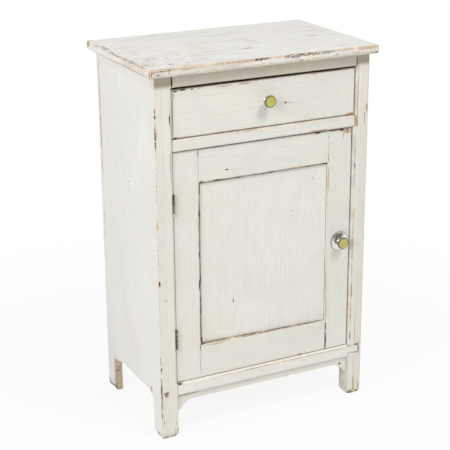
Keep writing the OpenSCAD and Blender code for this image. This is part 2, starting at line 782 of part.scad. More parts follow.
// Flared cup on a neck, with a recess in front for the coloured face: foot, neck, flare, rim
module knob_cup(base) difference() {
    polygon([[0, base], [collar_r, base], [collar_r, base + 1.5], [neck_r, base + 4],
        [neck_r + 0.6, knob_l - 9], [knob_r - 1.4, knob_l - 4.2], [knob_r, knob_l - 3],
        [knob_r, knob_l - 0.8], [knob_r - 0.8, knob_l], [0, knob_l]]);
    translate([0, knob_l - face_d]) square([face_r + glue_gap, face_d + CUT]);
}

// Slightly crowned disc
module knob_disc() {
    translate([0, knob_l - face_d + glue_gap]) square([face_r, face_d - face_rest]);
    intersection() {
        translate([0, knob_l - face_d + glue_gap]) square([face_r, face_d + crown_h]);
        translate([0, knob_l + crown_h - crown_r]) circle(crown_r, $fn = 200);
    }
}

module knob_rose() place() color(CHROME) turned(door_knob_x, recess, door_knob_z) difference() {
    polygon([[0, 0], [rose_r, 0], [rose_r, 0.8], [rose_r - 1.2, 1.6], [rose_r - 4, rose_t - 1.2],
        [rose_r - 9, rose_t - 0.3], [collar_r + 2.5, rose_t], [0, rose_t]]);
    translate([0, -CUT]) square([collar_r + run_gap, rose_t + 2 * CUT]);
}

module door_knob_body() place() color(CHROME) difference() {
    turned(door_knob_x, recess, door_knob_z) knob_cup(run_gap);
    rod_y(door_knob_x, recess - knob_bore_l, door_knob_z, spindle_r, 2 * knob_bore_l);
}

module door_knob_face() place() color(LIME) turned(door_knob_x, recess, door_knob_z) knob_disc();

module knob_spindle() place() color(STEEL)
    rod_y(door_knob_x, recess - knob_bore_l, door_knob_z, spindle_r,
        knob_bore_l + catch_y + catch_t + nut_t + thread_out - recess);

// Turning catch: a boss that passes the post's depth and a bar that swings behind the post
module catch() place() color(STEEL) difference() {
    union() {
        rod_y(door_knob_x, door_back + run_gap, door_knob_z, spindle_r + catch_boss_rim,
            catch_y - door_back - run_gap + CUT);
        translate([door_knob_x, catch_y + catch_t, door_knob_z]) rotate([90, 0, 0])
            linear_extrude(catch_t) {
                circle(catch_w / 2 + catch_eye_rim);
                translate([-catch_w / 2, catch_w / 2 - catch_tip]) square([catch_w, catch_tip]);
                translate([0, catch_w / 2 - catch_tip]) circle(catch_w / 2);
            }
    }
    rod_y(door_knob_x, door_back - CUT, door_knob_z, spindle_r, cab_d);
}

// Six-sided nut round a threaded rod of radius r
module nut(x, y, z, r) translate([x, y, z]) rotate([-90, 0, 0]) difference() {
    cylinder(r = 2 * r, h = nut_t, $fn = 6);
    translate([0, 0, -CUT]) cylinder(r = r, h = nut_t + 2 * CUT);
}

module catch_nut() place() color(STEEL) nut(door_knob_x, catch_y + catch_t, door_knob_z, spindle_r);

// ---------- drawer ----------

// Dovetails of a drawer side in Y-Z: tails run from y to y + l, wide at their free end
// end is -1 where the free end is in front and 1 where it is behind
module tails(y, l, z0, z1, end, gap) {
    pitch = (z1 - z0 - pin_w) / dovetail_n;
    root = (pitch - pin_w) / 2;
    tip = root + dovetail_spread;
    y_root = end < 0 ? y + l + CUT : y - CUT;
    y_tip = end < 0 ? y - gap : y + l + gap;
    grow = dovetail_spread * CUT / l;
    for (i = [0 : dovetail_n - 1]) {
        z = z0 + pin_w / 2 + (i + 0.5) * pitch;
        polygon([[y_root, z - root + grow - gap], [y_root, z + root - grow + gap],
            [y_tip, z + tip + gap], [y_tip, z - tip - gap]]);
    }
}

back_tail_y = drawer_back_y - drawer_back_t;
back_z0 = drawer_bottom_z + drawer_bottom_t;
back_z1 = side_top - back_drop;

// Side board of the drawer between x0 and x1
module drawer_side(x0, x1) difference() {
    union() {
        block([x0, front_back, drawer_z0], [x1, back_tail_y, side_top]);
        block([x0, back_tail_y - CUT, drawer_z0], [x1, drawer_back_y, back_z0]);
        translate([x0, 0, 0]) rotate([90, 0, 90]) linear_extrude(x1 - x0)
            tails(tail_y, tail_l, drawer_z0, side_top, -1, 0);
        translate([x0, 0, 0]) rotate([90, 0, 90]) linear_extrude(x1 - x0)
            tails(back_tail_y, drawer_back_t, back_z0, back_z1, 1, 0);
    }
    drawer_bottom_solid(glue_gap);
}

module drawer_side_left() place() color(BARE) drawer_side(drawer_l, drawer_l + drawer_side_t);
module drawer_side_right() place() color(BARE) drawer_side(drawer_r - drawer_side_t, drawer_r);

// Sockets for the tails at both ends of a cross board
module tail_sockets(gap) for (x = [drawer_l - CUT, drawer_r - drawer_side_t - gap])
    translate([x, 0, 0]) rotate([90, 0, 90]) linear_extrude(drawer_side_t + gap + CUT) {
        tails(tail_y, tail_l, drawer_z0, side_top, -1, gap);
        tails(back_tail_y, drawer_back_t, back_z0, back_z1, 1, gap);
    }

module drawer_front() place() color(PAINT) difference() {
    block([drawer_l, recess, front_z0], [drawer_r, front_back, front_z1]);
    tail_sockets(glue_gap);
    drawer_bottom_solid(glue_gap);
    for (z = [front_z0, front_z1]) bevel_x(-cab_w, recess, z, 2 * cab_w, ease);
    for (x = [drawer_l, drawer_r]) bevel_z(x, recess, 0, cab_h, ease);
    rod_y(drawer_knob_x, 0, drawer_knob_z, bolt_r + glue_gap, cab_d);
}

module drawer_back() place() color(BARE) difference() {
    block([drawer_l, back_tail_y, back_z0], [drawer_r, drawer_back_y, back_z1]);
    tail_sockets(glue_gap);
    drawer_nail_set(glue_gap / 2);
}

// The bottom slides in grooves and passes under the drawer back
module drawer_bottom_solid(gap) {
    x0 = drawer_l + drawer_side_t - drawer_groove_d - gap;
    x1 = drawer_r - drawer_side_t + drawer_groove_d + gap;
    block([x0, front_back - drawer_groove_d - gap, drawer_bottom_z - gap],
          [x1, drawer_back_y + gap, drawer_bottom_z + drawer_bottom_t + gap]);
}

module drawer_bottom() place() color(BARE) difference() {
    drawer_bottom_solid(0);
    drawer_nail_set(glue_gap / 2);
}

// Three nails up through the bottom into the drawer back
module drawer_nail_set(gap) for (i = [-1 : 1])
    translate([drawer_knob_x + i * (drawer_r - drawer_l) * drawer_nail_share,
        drawer_back_y - drawer_back_t / 2, drawer_bottom_z - gap]) {
        cylinder(r = nail_r + gap, h = drawer_bottom_t + drawer_nail_l + gap);
        cylinder(r = 2 * nail_r + gap, h = nail_head_t + gap);
    }

module drawer_nails() place() color(STEEL) drawer_nail_set(0);

module drawer_knob_body() place() color(CHROME) difference() {
    turned(drawer_knob_x, recess, drawer_knob_z) knob_cup(0);
    rod_y(drawer_knob_x, recess - knob_bore_l, drawer_knob_z, bolt_r, 2 * knob_bore_l);
}

module drawer_knob_face() place() color(LIME)
    turned(drawer_knob_x, recess, drawer_knob_z) knob_disc();

module drawer_knob_bolt() place() color(STEEL)
    rod_y(drawer_knob_x, recess - knob_bore_l, drawer_knob_z, bolt_r,
        knob_bore_l + front_t + nut_t + thread_out);

module drawer_knob_nut() place() color(STEEL)
    nut(drawer_knob_x, front_back, drawer_knob_z, bolt_r);

top_board();
side_left();
side_right();
post_left();
post_right();
top_rail();
divider_rail();
bottom_rail();
apron();
bottom_board();
back_plank_left();
back_plank_middle();
back_plank_right();
back_rail();
runner_left();
runner_right();
guide_left();
guide_right();
kicker_left();
kicker_right();
drawer_stops();
door_stop();
top_screws();
back_nails();
hinge_upper_post_leaf();
hinge_upper_pin();
hinge_lower_post_leaf();
hinge_lower_pin();
hinge_screws_post();
door_hinge_stile();
door_lock_stile();
door_top_rail();
door_bottom_rail();
door_panel();
hinge_upper_door_leaf();
hinge_lower_door_leaf();
hinge_screws_door();
knob_rose();
door_knob_body();
door_knob_face();
knob_spindle();
catch();
catch_nut();
drawer_front();
drawer_side_left();
drawer_side_right();
drawer_back();
drawer_bottom();
drawer_nails();
drawer_knob_body();
drawer_knob_face();
drawer_knob_bolt();
drawer_knob_nut();
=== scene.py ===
"""Bedside pot cupboard: worn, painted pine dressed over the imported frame."""
import json
import math

import bmesh
import bpy
from mathutils import Matrix, Vector, noise

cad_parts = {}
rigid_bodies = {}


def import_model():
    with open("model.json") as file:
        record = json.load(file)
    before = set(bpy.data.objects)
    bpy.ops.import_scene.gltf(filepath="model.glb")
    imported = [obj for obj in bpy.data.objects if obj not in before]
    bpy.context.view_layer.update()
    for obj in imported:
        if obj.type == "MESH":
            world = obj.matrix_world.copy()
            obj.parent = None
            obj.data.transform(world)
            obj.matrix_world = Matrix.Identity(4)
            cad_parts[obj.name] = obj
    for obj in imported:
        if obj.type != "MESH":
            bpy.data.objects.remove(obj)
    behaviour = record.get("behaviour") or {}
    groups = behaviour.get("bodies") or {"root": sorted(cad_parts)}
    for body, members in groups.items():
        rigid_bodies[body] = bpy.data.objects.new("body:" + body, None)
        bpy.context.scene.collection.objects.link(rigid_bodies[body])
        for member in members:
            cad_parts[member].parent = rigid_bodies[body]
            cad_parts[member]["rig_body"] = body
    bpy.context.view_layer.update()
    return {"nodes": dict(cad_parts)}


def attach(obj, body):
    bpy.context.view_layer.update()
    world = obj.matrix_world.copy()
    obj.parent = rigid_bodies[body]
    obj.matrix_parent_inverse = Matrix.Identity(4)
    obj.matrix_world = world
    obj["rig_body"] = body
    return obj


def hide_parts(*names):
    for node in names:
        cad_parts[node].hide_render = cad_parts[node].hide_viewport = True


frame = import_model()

MM = 0.001
NODES = frame["nodes"]
BODY = {n: o["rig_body"] for n, o in NODES.items()}
AXIS = {"x": 0, "y": 1, "z": 2}
WAYS = {"-x": (-1, 0, 0), "+x": (1, 0, 0), "-y": (0, -1, 0), "+y": (0, 1, 0),
        "-z": (0, 0, -1), "+z": (0, 0, 1)}

# Worn places of each piece: kind, centre and half-sizes, in mm, in the CAD's frame.
# b bare wood, g golden bare wood, n brown knock, d dark crack or hole, and painted shade in a gap, k row of
# small dark chips,
# s scuff, and painted shade under a rail, c thin cream paint, f faint stain
MARKS = {
    "top_board": """
s 252.5 20 780 2.6 125 2.6
d 253.5 -162.5 776.5 2.2 2.6 4
b -244.5 -162 778 14 4 6
b -215.5 -162 778 25 4.5 4
b -166 -162 778 34 4 4.5
b -104.5 -162 778 30 3.5 3
b -51 -162 778 47 3.5 4
b -1.5 -162 778 20 3.5 1.6
b 27.5 -162 778 20 3.5 2.4
k -19 -162.5 778 21 4 3
k 57.5 -162.5 777.5 23 4.5 4.5
b 82 -162 778 22 3.5 3.5
k 115 -162.5 777.5 31 4.5 4
b 154 -162 778 26 3.5 1.6
b 177.5 -162 778 15 3.5 2.7
b 224 -162 778 29 4.5 5.5
d -244.5 -163.5 773.5 1.1 2 1.1
d -236 -163.5 769 2 2 1
d -228.5 -163.5 775.5 1.8 2 1
d -211.5 -163.5 776 3 2 1
d -213 -163.5 770.5 1 2 1
b 58.5 -163.5 771 4.5 2 1.1
b 49 -163.5 768.5 2.4 2 1
d 71 -163.5 767 2.9 2 0.9
b 153.5 -163.5 769.5 4 2 1.8
b 201 -163.5 768 4.5 2 1.3
d 245 -163.5 765.5 11 2 1
d 237 -163.5 780 14 2.7 2
b -253.5 -20.5 780 3.5 50 4
b -253.5 60 779.5 3 14 2.6
k -253.5 20 779 3 20 2.2
n -253.5 -8 780 3 13 2.8
n -253.5 29 780 3 8 2.6
n -253.5 -47 780 3 8 2.2
n -253.5 -143 780 3 7 2.4
d -253.5 -64 779.5 2 7 1.2
s -250 70 780 7 26 2
b -253.5 108 779.5 3 22 2.4
d -253.5 -76 780 3.5 17 1.8
g -253.5 -120.5 779.5 3.5 37 2.1
g -253.5 -28 763 3 138 3
n -253.5 -70 762 2.4 90 2
n -253.5 60 762 2.4 50 1.6
c -253.5 -96.5 768 6 63 6
c -249.5 -162.5 771 4 2.5 8.5
g -251.5 -160.5 771.5 2.6 2.6 9
n -248.5 -162.5 770.5 0.9 2 6.5
d -253.5 158.5 767.5 2 3 2
s -167 -35 780 6 1.1 2
s -161 -46 780 4 1.2 2
s -200 -76 780 11 1.1 2
s -223 -88 780 5.5 1 2
d -189.5 -107.5 780 7 1 2
d -194 -129 780 4.5 2.8 2
s -91.5 62 780 5.5 1.5 2
f -83.5 -2.5 780 12 35 2
s 48.5 97 780 6.5 1.1 2
d 2 -66.5 780 11 2.4 2
s 82 -13 780 6 1.3 2
s 181 -14.5 780 17 4 2
s 231.5 -18 780 11 1.3 2
s 184 -132 780 10 1.9 2
s 163 -89 780 11 1.1 2
s -104 -106.5 780 9 1 2
s -211 65.5 780 8 1.1 2
s -210.5 -3 780 9 1.1 2
g -253.5 152 774 3 9 5
g -250 160 779 8 6 3""",
    "side_left": """
g -239.5 -148 346 3 3 9
d -236.5 -148 347 1.4 2 5
d -237.5 -148 160 1.4 1.6 5
b -238 -148 96 2.4 2.4 9
d -239 -148 695.5 1.8 1.8 8
d -239 -148 686 2.6 2.6 3.5
s -239 -148 671.5 1.8 1.8 14
d -239 -148 650 2.8 2.8 12
d -239 -148 632.5 2.1 2.1 14
g -239 -148 470 2.9 2.9 11
s -239 -148 542.5 1.6 1.6 57
s -239 -148 395.5 1.6 1.6 72
b -239 -148 172 1.9 1.9 20
b -239 -148 134.5 2.5 2.5 8.5
d -239 -148 113 2.5 2.5 14
b -239 -148 79.5 3 3 13
b -239 -148 56 2.5 2.5 10
s -234 -148 40 1.1 2 6
n -227 -148 101 4 4 5
n -227.5 -148 105.5 6 4 2.6
s -223 -148 308.5 4.5 2 2
s -214 -148 676 1.1 2 4
s -214 -148 649.5 1.1 2 4.5
b -239 135 731.5 1.9 1.9 13
b -239 135 673 2.6 2.6 48
b -239 135 588.5 2.9 2.9 44
b -239 135 522 2 2 38
b -239 135 400.5 2 2 20
b -239 135 366 1.9 1.9 12
b -239 135 321 1.9 1.9 16
s -239 -8.5 521.5 2 6 1.5
s -239 -5.5 502 2 4 1.1
b -239 -11 87 2 28 1.1
b -239 -96.5 95 2 4.5 6
s -239 117.5 9 2 3.5 3.5
k -229 -143 4 7 5 4
k -238.5 124 7 3 18 6
k -238 -125 6 3 16 5
d -239 85 3 2 19 1.5""",
    "post_left": """
s -203 -148 702 1.5 2 25
d -207.5 -148 678 1.1 2 11
d -202.5 -148 662 1.3 2 6
s -203.5 -148 645.5 1.2 2 14
s -207 -148 584 1 2 34
d -201.5 -148 750.5 1.6 2 12
s -207 -148 32.5 1.2 2 4
k -210 -144 4 9 5 4
k -202.5 -146 13 2.4 3 11
b -209 -148 9 1.2 2 12""",
    # the top rail's first d row, on its underside over the drawer, is painted shade in the gap
    "top_rail": """
d 4 -136 738 214 10 1.3
d -201 -148 749.5 1.3 2 11
d 209.5 -148 746 1.9 2 13
b -172 -148 740.5 24 2 0.9
s -93 -148 739 65 2 1""",
    # the drawer front's first d row, on its top face, is painted shade in the gap
    "drawer_front": """
d 4 -131 734.5 204 10 1.6
d -192.5 -143 730 5 2 1.6
s -195.5 -143 722.5 1.5 2 5
d -177.5 -143 731 7 2 1.5
d -157 -143 730.5 2.6 2 1.3
b -142 -143 730.5 6 2 1.2
b -89 -143 728.5 20 2 1.1
b -43.5 -143 729 17 2 1.7
b 113 -143 730 10 2 1.1
s -198.5 -143 681.5 1.2 2 45
d -195.5 -143 637.5 6 2 1.8
b -157.5 -143 637 35 2 1
b -97.5 -143 636.5 38 2 1.1
b -49.5 -143 635.5 22 2 1.6
b -19.5 -143 636 19 2.4 2.4
b 46.5 -143 635.5 60 2 1.3
b 150.5 -143 633.5 63 2 1.1
s 208.5 -143 707 1.7 2 23
b 210 -143 668.5 1.9 2 26
g 200 -143 637 11 2.7 5
d 47 -143 680.5 2.5 2 1.5
s 57.5 -143 679 7.5 2 0.8
s 2 -143 672 2.3 2 1.1""",
    "divider_rail": """
b -37.5 -148 634.5 38 2 1.2
b -161 -148 636 34 2 0.9
s -202 -148 633.5 1.2 2 5
s -203 -148 621.5 1.2 2 5
d 210.5 -147 624.5 1.7 2 18
g 207.5 -147 628.5 2 2 14
b 122 -148 615 19 2 1.1""",
    "post_right": """
b 207 -148 5 5 3 6
k 213 -144 4 8 5 4
s 214 -146 7 6 4 8
d 205.5 -145 4 2.5 2.5 2
g 213 -147 626 2.2 2.2 19
b 212.5 -147 668 2.3 2.3 28
s 213 -147 702 1.2 2 17
s 210 -148 563 1.3 2 24
d 210 -148 527.5 1.1 2 6.5
s 210 -148 497 1 2 25
b 210 -148 420 2.2 2.2 14
s 210 -148 388.5 1 2 23
b 210 -148 358 3 3 12
s 210 -148 331 1.2 2 20
s 210 -148 297 1 2 20
b 210 -148 251 1.5 2 31
b 210 -148 197.5 1 2 31
b 210 -148 148 1.3 2 7.5
d 210 -148 139.5 1.2 2 4.5
s 221.5 -148 159.5 1 2 47
b 221.5 -148 67 1.1 2 28
g 221.5 -148 27 1.9 1.9 27
d 184.5 -148 40.5 1 2 10
d 214 -148 101.5 6 2 1.1
s 213.5 -148 118.5 6 2 0.9""",
    "side_right": """
b 233 -147 4 7 3 3
k 229 -143 5 7 5 5
g 221.5 -148 26 1.6 2 26
b 221.5 -148 137 1.1 2 17
b 235 -148 649.5 2.4 2.4 7.5
s 239.5 -148 455 1.2 2 5.5
s 230 -148 629.5 1.7 2 13
d 238 -148 3.5 1.5 2 5.5
s 234 -148 19.5 1.9 2 10
d 227 -148 119 5.5 2 1.5
d 232 -148 109 1 2 11
d 224 -148 101 9.5 2 1.2""",
    "bottom_rail": """
d -197 -146.5 119.5 6.5 3.5 2.2
d 209.5 -148 118 1.5 2 1.5
b 216 -148 101.5 9.5 2 1
d 226.5 -148 118.5 5 2 1.2
b -90.5 -148 117 28 2 0.7
b -35.5 -148 117 38 2 0.7
b 16 -148 117 26 2 0.7
b 66 -148 117 34 2 0.7
b 119 -148 117 30 2 0.7
s 171.5 -148 117 30 2 1
s -197.5 -148 93.5 8 2 1.2""",
    "door_bottom_rail": """
d 87.5 -143 122.5 5 2 1.5
b -128 -143 195.5 14 2 1.5
b -92 -143 194.5 30 2 1.5
b -108.5 -143 190.5 30 2 1.1
b -35 -143 192.5 24 2 1.6
b 13.5 -143 192.5 37 2 1.5
b 74 -143 192 38 2 1.3
b 126.5 -143 191 28 2 1.3
d -142.5 -143 196.5 5 2.1 2.1
d -110 -140.5 196.5 36 1.6 1.6
d -36 -140.5 194.5 40 1.6 1.6
d 40 -140.5 192.5 38 1.6 1.6
d 108 -140.5 190.5 40 1.6 1.6""",
    "door_lock_stile": """
d 163 -143 609.5 17 2 1.5
d 179.5 -143 608 4.5 2.4 2.4
b 195.5 -143 604.5 16 5.5 5.5
g 199 -143 601.5 10 3.5 3.5
s 183.5 -143 594.5 1.5 2 6
s 202.5 -143 587.5 1.5 2 8.5
s 148.5 -143 576 0.9 2 37
d 148.5 -143 560 1.1 2 4
d 148.5 -143 596 1.1 2 3
d 148.5 -143 549 1 2 5
b 146 -143 510.5 1.1 2 33
b 150 -143 504.5 1.5 2 30
d 145 -143 454 2.8 2 6.5
d 143.5 -143 440 1.5 2 13
s 144.5 -143 414.5 1.1 2 17
d 143.5 -143 395.5 1.2 2 6
b 147.5 -143 337 1.2 2 36
b 149 -143 273 1.1 2 42
b 150.5 -143 214 1.1 2 31
d 149 -143 175 2.3 2 9
d 149.5 -143 143 2.4 2 22""",
    "door_hinge_stile": """
d -199.5 -143 120.5 5 2.9 2.9
d -193.5 -143 121 5 2.2 2.2
d -146.5 -143 603 0.8 2 8
s -146.5 -143 570 0.8 2 32
d -147 -143 189 0.8 2 6
s -147 -143 153 0.7 2 35
s -160.5 -143 293.5 1.2 2 2
b -146 -143 524.5 1.5 2 13
s -146.5 -143 499.5 1 2 18
d -146 -143 477.5 1.6 2 10
b -148 -143 453 1.1 2 17
b -146.5 -143 420 1.3 2 21
d -146.5 -143 393.5 1.3 2 10
b -146.5 -143 360.5 1.1 2 28
d -146.5 -143 327.5 1.8 2 11
b -146 -143 303 1.3 2 20
b -146.5 -143 241 1.2 2 52""",
    "door_top_rail": """
s -147 -143 574.5 0.8 2 21
d -140.5 -143 538.5 6.5 2.1 5.5
b -117 -143 541.5 25 2 1.2
d -105 -143 542 9 2 1.1
s -51.5 -143 542 52 2 1.6
s 29 -143 542 39 2 1.3
b 76 -143 542 20 2 1.6
s 112.5 -143 542 24 2 1.1
d 138.5 -143 541.5 8.5 2 1.1
d -84 -143 560.5 3.5 2 1.1
d 122.5 -143 609 6.5 2.1 2.1
b 97 -143 609.5 24 2 1.3
s 138 -143 609.5 12 2 1.2
b 13 -143 610 76 2 0.9""",
    "door_panel": """
d -142.5 -138 202.5 1.7 2 12
d -69 -138 276 1.1 2 3.5
s 116.5 -138 511.5 1.1 2 3.5
s 67 -138 450 3 2 1.1
b -144 -138 467 0.9 2 75
b -144 -138 301.5 0.9 2 111""",
    # the apron's first s row, along its top under the bottom rail, is painted shade
    "apron": """
d 188.5 -142 78 2.2 2.2 2.2
s -175.5 -142 90 30 2 1.6
b 207 -142 74 1.1 2 21
s 54.5 -142 79 3.5 2 1.1""",
    "back_plank_left": """
b -239 135 731.5 1.1 1.1 13
b -239 135 673 1.8 1.8 48
b -239 135 588.5 2.1 2.1 44
b -239 135 522 1.2 1.2 38
s -239 139 11 2 6.5 8""",
}


# ---------- colours: red, green and blue on a screen's scale of 0 to 255 ----------

WARM = (232, 230, 221)  # the coat of paint on most boards
COOL_LIT_TONE = (231, 230, 225)  # the same paint, made cooler on the sides and the back as painted light
TOP_TONE = (236, 234, 230)
PANEL_TONE = (235, 233, 225)
# the top rail's paint, darkened as painted shade under the top's overhang
TOP_RAIL_SHADED_TONE = (212, 205, 190)
# the bottom rail's paint, lightened as painted light from the floor
FOOT_RAIL_LIT_TONE = (236, 234, 226)

CREAM = (234, 219, 200)  # paint worn thin round bare wood
THIN_COAT = (190, 176, 158)  # paint worn thin along an edge
BROKEN_RIM = (206, 182, 156)  # where the upper coat has broken away
GREYED = (200, 198, 190)  # the top where it is used most
YELLOWED = (234, 224, 204)
FLECK = (166, 157, 145)
DEEP_FLECK = (96, 86, 76)
SCUFF_AND_SHADE = (158, 146, 130)
STAIN = (216, 206, 184)
KNOCK = (142, 126, 104)
CRACK_AND_GAP_SHADE = (58, 46, 38)
ROUND_CRACK = (186, 168, 148)
CHIP = (46, 36, 32)
LEDGE_DUST_AND_SHADE = (160, 144, 126)  # dust on ledges, and painted shade on faces turned to the lamps
FLOOR_DIRT = (184, 166, 138)  # low on the feet
PANEL_LINE = (106, 91, 71)  # round the panel
CUT_DIRT = (136, 114, 86)  # in cut wood that never was painted
HANDLED = (140, 114, 88)  # bare pine where hands and dust reach it

# wood: between its fibres, and the fibres themselves
WORN_PINE = ((142, 118, 97), (221, 197, 172))
GOLDEN_PINE = ((150, 124, 84), (208, 184, 142))
# unpainted pine, made dark as painted shade inside the gaps by the drawer
GAP_SHADED_PINE = ((112, 88, 64), (160, 132, 98))
CUT_PINE = ((176, 162, 134), (216, 205, 180))
INNER_PINE = ((160, 124, 86), (196, 164, 124))
EDGE_PINE = ((160, 126, 88), (196, 166, 128))  # inner faces of painted boards
PAINT_IN_PINE = (219, 205, 187)  # what the broken paint left in the wood

# tints that a coat is multiplied by
WARM_TINT = (1.0, 0.985, 0.95, 1.0)
# painted light: the front's warmer tone, put on the side boards' front edges
FRONT_LIT_TINT = (0.995, 0.965, 0.91, 1.0)
# the undercoat below the top's broken coat, darkened also as painted shade
UNDERCOAT_AND_SHADE_TINT = (0.93, 0.89, 0.82, 1.0)
# painted shade under the top's overhang
UNDER_TOP_SHADE_TINT = (0.54, 0.49, 0.39, 1.0)

# metal and the knobs' faces
PLATING = ((238, 237, 233), (206, 203, 196))  # clean and clouded
TARNISH = (84, 72, 58)
PIT = (120, 108, 92)
GREEN = ((192, 184, 66), (190, 186, 108))  # in the middle and further out
GREEN_RIM = (96, 88, 42)
STEEL = ((34, 27, 22), (70, 58, 48))
RUST = (92, 62, 42)
PAINT_ON_STEEL = (206, 200, 184)  # left on the hinges


def lin(rgb):
    """A colour on the screen's scale as the linear values that a shader takes."""
    def one(c):
        c /= 255
        return c / 12.92 if c <= 0.04045 else ((c + 0.055) / 1.055) ** 2.4
    return (*map(one, rgb), 1.0)


def shade(tone, by):
    """A tone made lighter or darker by so many steps of the screen's scale."""
    return lin([min(255, max(0, c + by)) for c in tone])


# ---------- materials ----------

class Tree:
    """The nodes of a material or a world, written as nested calls."""

    def __init__(self, owner):
        owner.use_nodes = True
        self.owner = owner
        self.nodes = owner.node_tree.nodes
        self.links = owner.node_tree.links
        self.nodes.clear()

    def add(self, kind, ins=(), out=0, **props):
        """One node with its inputs, linked or set, and its settings; gives the output asked for."""
        n = self.nodes.new(kind)
        for k, v in props.items():
            setattr(n, k, v)
        for k, v in dict(ins).items():
            if isinstance(v, bpy.types.NodeSocket):
                self.links.new(v, n.inputs[k])
            else:
                n.inputs[k].default_value = v
        return n.outputs[out] if len(n.outputs) else None

    def math(self, op, *a):
        return self.add("ShaderNodeMath", enumerate(a), operation=op)

    def vec(self, op, *a, out=0):
        return self.add("ShaderNodeVectorMath", enumerate(a), out, operation=op)

    def point(self):
        """The place on the piece at rest, in metres of the frame, because its origin is the frame's."""
        return self.add("ShaderNodeTexCoord", out=3)

    def split(self, v):
        """A vector's three numbers."""
        return self.add("ShaderNodeSeparateXYZ", {0: v}).node.outputs

    def noise(self, v, scale, detail=2.0, rough=0.5, out=0, distortion=0.0):
        """Noise at v, most of it between 0.3 and 0.7; its scale counts per metre."""
        return self.add("ShaderNodeTexNoise", {"Vector": v, "Scale": scale, "Detail": detail,
                                               "Roughness": rough, "Distortion": distortion}, out)

    def step(self, x, lo, hi, a=0.0, b=1.0):
        """Goes smoothly from a to b as x goes from lo to hi."""
        return self.add("ShaderNodeMapRange", {0: x, 1: lo, 2: hi, 3: a, 4: b},
                        interpolation_type="SMOOTHSTEP")

    def mix(self, f, a, b, mode="MIX"):
        """Colour a, turning into b, or into a times b, as f goes from 0 to 1."""
        return self.add("ShaderNodeMix", {0: f, 6: a, 7: b}, 2, data_type="RGBA", blend_type=mode)

    def times(self, product, *factors):
        """The product of all its terms."""
        for factor in factors:
            product = self.math("MULTIPLY", product, factor)
        return product

    def sum(self, *terms):
        """Adds (socket, weight) pairs and numbers; a pair comes first."""
        total = None
        for t in terms:
            if not isinstance(t, tuple):
                total = self.math("ADD", total, t)
            elif total is None:
                total = self.math("MULTIPLY", *t)
            else:
                total = self.math("MULTIPLY_ADD", *t, total)
        return total

    def near(self, p, marks):
        """1 at the middle of the nearest mark, 0 at its rim, less outside."""
        least = None
        for x, y, z, rx, ry, rz in marks:
            q = self.vec("MULTIPLY_ADD", p, (1 / rx, 1 / ry, 1 / rz), (-x / rx, -y / ry, -z / rz))
            d = self.vec("LENGTH", q, out=1)
            least = d if least is None else self.math("MINIMUM", least, d)
        return self.math("SUBTRACT", 1.0, least)

    def from_axis(self, p, x, z, unit):
        """How far p lies from the axis along Y through (x, z), all in mm, counted in that unit."""
        unit *= MM
        flat = self.vec("MULTIPLY_ADD", p, (1 / unit, 0.0, 1 / unit), (-x * MM / unit, 0.0, -z * MM / unit))
        return self.vec("LENGTH", flat, out=1)

    def wood(self, fibre, tones):
        """The colour of wood whose fibres are given."""
        between, light = tones
        return self.mix(fibre, lin(between), lin(light))

    def seen(self):
        """1 for what the eye sees, straight, mirrored or through glass, and 0 for what lights the object."""
        path = self.add("ShaderNodeLightPath").node.outputs
        mirrored = self.math("MAXIMUM", path["Is Glossy Ray"], path["Is Transmission Ray"])
        return self.math("MAXIMUM", path["Is Camera Ray"], mirrored)

    def finish(self, colour, rough, height, strength, **more):
        """The surface's shader, with a bump of this height in metres; constants sit on its own sockets."""
        bump = self.add("ShaderNodeBump", {"Strength": strength, "Distance": 1.0, "Height": height})
        ins = {k.replace("_", " "): v for k, v in more.items()}
        ins |= {"Base Color": colour, "Roughness": rough, "Normal": bump}
        self.add("ShaderNodeOutputMaterial", {"Surface": self.add("ShaderNodeBsdfPrincipled", ins)})
        return self.owner


def new_tree(name):
    return Tree(bpy.data.materials.new(name))


# by the way the grain runs: what places are multiplied by, to stretch a noise along it
GRAIN = {"x": (0.03, 1.0, 1.0), "y": (1.0, 0.03, 1.0), "z": (1.0, 1.0, 0.03)}
FLECK_STRETCH = 0.28  # the same along the grain, for flecks
PAINT_SHIFT = (0.137, 0.211, 0.173)  # moves the noises on from one seed to the next
PINE_SHIFT = (0.117, 0.231, 0.153)

# lengths, places and heights, in metres unless it says mm
RING = 0.0068  # growth rings across a board, from one to the next
WOBBLE = 0.001  # how far a mark's rim strays
EDGE_REACH = 0.003  # how far from an arris its wear reaches
JOINT_CLEAR = (0.0034, 0.0044)  # how far from a flush joint its arris wears again
FRONT = (-0.1462, -0.1474)  # where a side board's arris turns into its front edge
WAVE_MEAN = 0.0085  # of the noises that make the line of broken paint wavy
INSIDE_FROM = (0.102, 0.106)  # the feet are painted all round, up to here
UNDER_TOP_SHADE_RISE = (0.735, 0.746)  # the painted shade under the top grows between these heights,
UNDER_TOP_SHADE_FALL = (0.745, 0.760)  # and thins a little between these
UNDER_TOP_SHADE_RAGGED = 0.002  # how far its edge strays
GREY_SIDE = (0.15, -0.1)  # the top is greyer towards its left, between these places along X
LOW = 0.009  # the feet are dirty up to here
FADE = 1.5  # depth over which one coat gives way to another or to bare wood, in mm
HINGE_LINE = -0.2002  # right of this a hinge still has its paint
HINGE_WANDER = 0.003  # how far the rim of that paint strays
FACE_RADIUS = 12.3  # of the knobs' yellow-green faces, in mm
LEDGE_DUST_AND_SHADE_WAYS = {"+z": 0.85}  # ways whose faces take dust and painted shade, and how much

# kinds of mark that lie in the paint: how strong they are, and their colour; + is the zone round a mark
IN_PAINT = {"b+": (1.0, CREAM), "g+": (1.0, CREAM), "c": (1.0, CREAM), "d+": (1.0, ROUND_CRACK),
            "f": (0.4, STAIN), "s": (0.7, SCUFF_AND_SHADE)}


